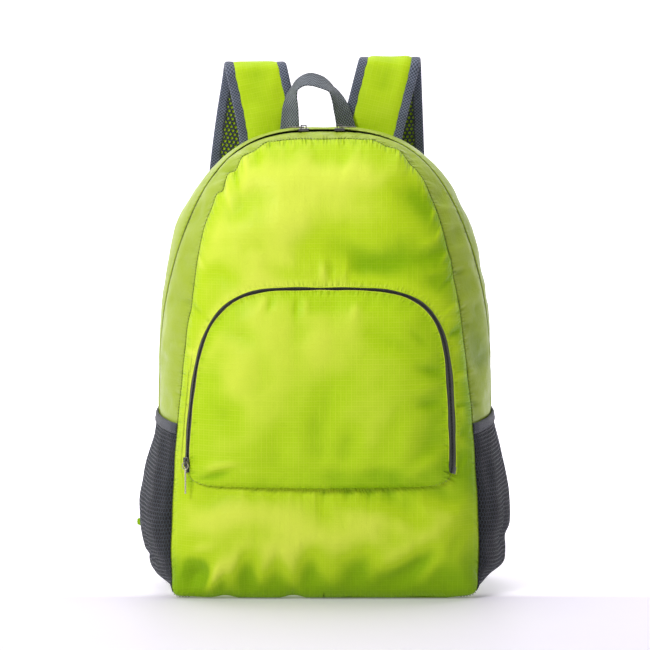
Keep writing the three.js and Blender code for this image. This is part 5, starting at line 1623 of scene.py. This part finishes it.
# Camera, floor and studio light
camera = bpy.data.objects.new("camera", bpy.data.cameras.new("camera"))
bpy.context.scene.collection.objects.link(camera)
bpy.context.scene.camera = camera
camera.data.lens = 160
camera.data.sensor_width = 36
CAMERA_TILT = np.radians(5.0)
CAMERA_DISTANCE = 2.6
CAMERA_TARGET_HEIGHT = 0.237
camera.location = (
    0, -CAMERA_DISTANCE * np.cos(CAMERA_TILT), CAMERA_TARGET_HEIGHT + CAMERA_DISTANCE * np.sin(CAMERA_TILT)
)
camera.rotation_euler = (np.pi / 2 - CAMERA_TILT, 0, 0)
camera.data.clip_end = 50


def stage_floor():
    """A pale floor that turns up into a backdrop in a quarter circle, glowing as painted light: least just in front of
    the bag, more behind and away from it.
    """
    turn = np.linspace(0, np.pi / 2, 24)
    depth = np.concatenate([[-6000], 2200 + 900 * np.sin(turn), [3100]])
    height = np.concatenate([[0], 900 - 900 * np.cos(turn), [5000]])
    x = np.array([-7000.0, 7000.0])
    points = np.stack(
        [
            np.broadcast_to(x, (len(depth), 2)), np.broadcast_to(depth[:, None], (len(depth), 2)),
            np.broadcast_to(height[:, None] - 0.4, (len(depth), 2))
        ],
        -1
    )
    mesh = bpy.data.meshes.new("floor")
    mesh.from_pydata((points.reshape(-1, 3) * MM).tolist(), [], grid_faces(len(depth), 2).tolist())
    mesh.polygons.foreach_set("use_smooth", np.full(len(mesh.polygons), True))
    floor = bpy.data.objects.new("floor", mesh)
    bpy.context.scene.collection.objects.link(floor)
    paper = Finish("pale floor")
    place = paper.object_place()
    grain = paper.noise(place, 40.0, 3.0)
    axes = paper.node("SeparateXYZ", {0: place})
    aside, depth = axes.outputs["X"], axes.outputs["Y"]
    far = paper.sum("ADD", paper.sum("MULTIPLY", aside, aside), paper.sum("MULTIPLY", depth, depth))
    # Painted light: the floor glows, least just in front of the bag so that a contact shadow shows there, and more
    # behind and beside it to wash out its shadows. The faint lavender tint of its base colour makes the green light
    # bounced from the bag read grey.
    floor.data.materials.append(paper.set(
        Base_Color=paper.colour_mix(
            grain, (0.77, 0.725, 0.83, 1), (0.78, 0.735, 0.84, 1)
        ), Roughness=0.55, Specular_IOR_Level=0.2,
        Emission_Color=(1, 1, 1, 1), Emission_Strength=paper.sum(
            "ADD", paper.ranged(depth, -0.064, -0.030, 0.12, 0.47),
            paper.sum("MAXIMUM", paper.ranged(depth, 0.10, 0.50, 0.0, 0.44), paper.ranged(far, 0.16, 1.4, 0.0, 0.44))
        ),
    ))


def softbox(name, place, target, size, power, colour=(1, 1, 1)):
    """A square area light that faces a target."""
    lamp = bpy.data.objects.new(name, bpy.data.lights.new(name, "AREA"))
    lamp.data.shape = "RECTANGLE"
    lamp.data.size, lamp.data.size_y = size
    lamp.data.energy = power
    lamp.data.color = colour
    bpy.context.scene.collection.objects.link(lamp)
    lamp.location = place
    lamp.rotation_euler = (Vector(target) - Vector(place)).to_track_quat("-Z", "Y").to_euler()


stage_floor()
softbox("key", (-1.45, -1.75, 1.75), (0, 0, 0.25), (0.8, 0.8), 42.5)
softbox("overhead", (-0.1, 0.15, 2.1), (0, 0, 0.1), (1.4, 1.2), 19)
world = bpy.data.worlds.new("studio")
bpy.context.scene.world = world
world.use_nodes = True
world.node_tree.nodes["Background"].inputs["Color"].default_value = (1, 1, 1, 1)
world.node_tree.nodes["Background"].inputs["Strength"].default_value = 0.22
bpy.context.scene.view_settings.view_transform = "Standard"
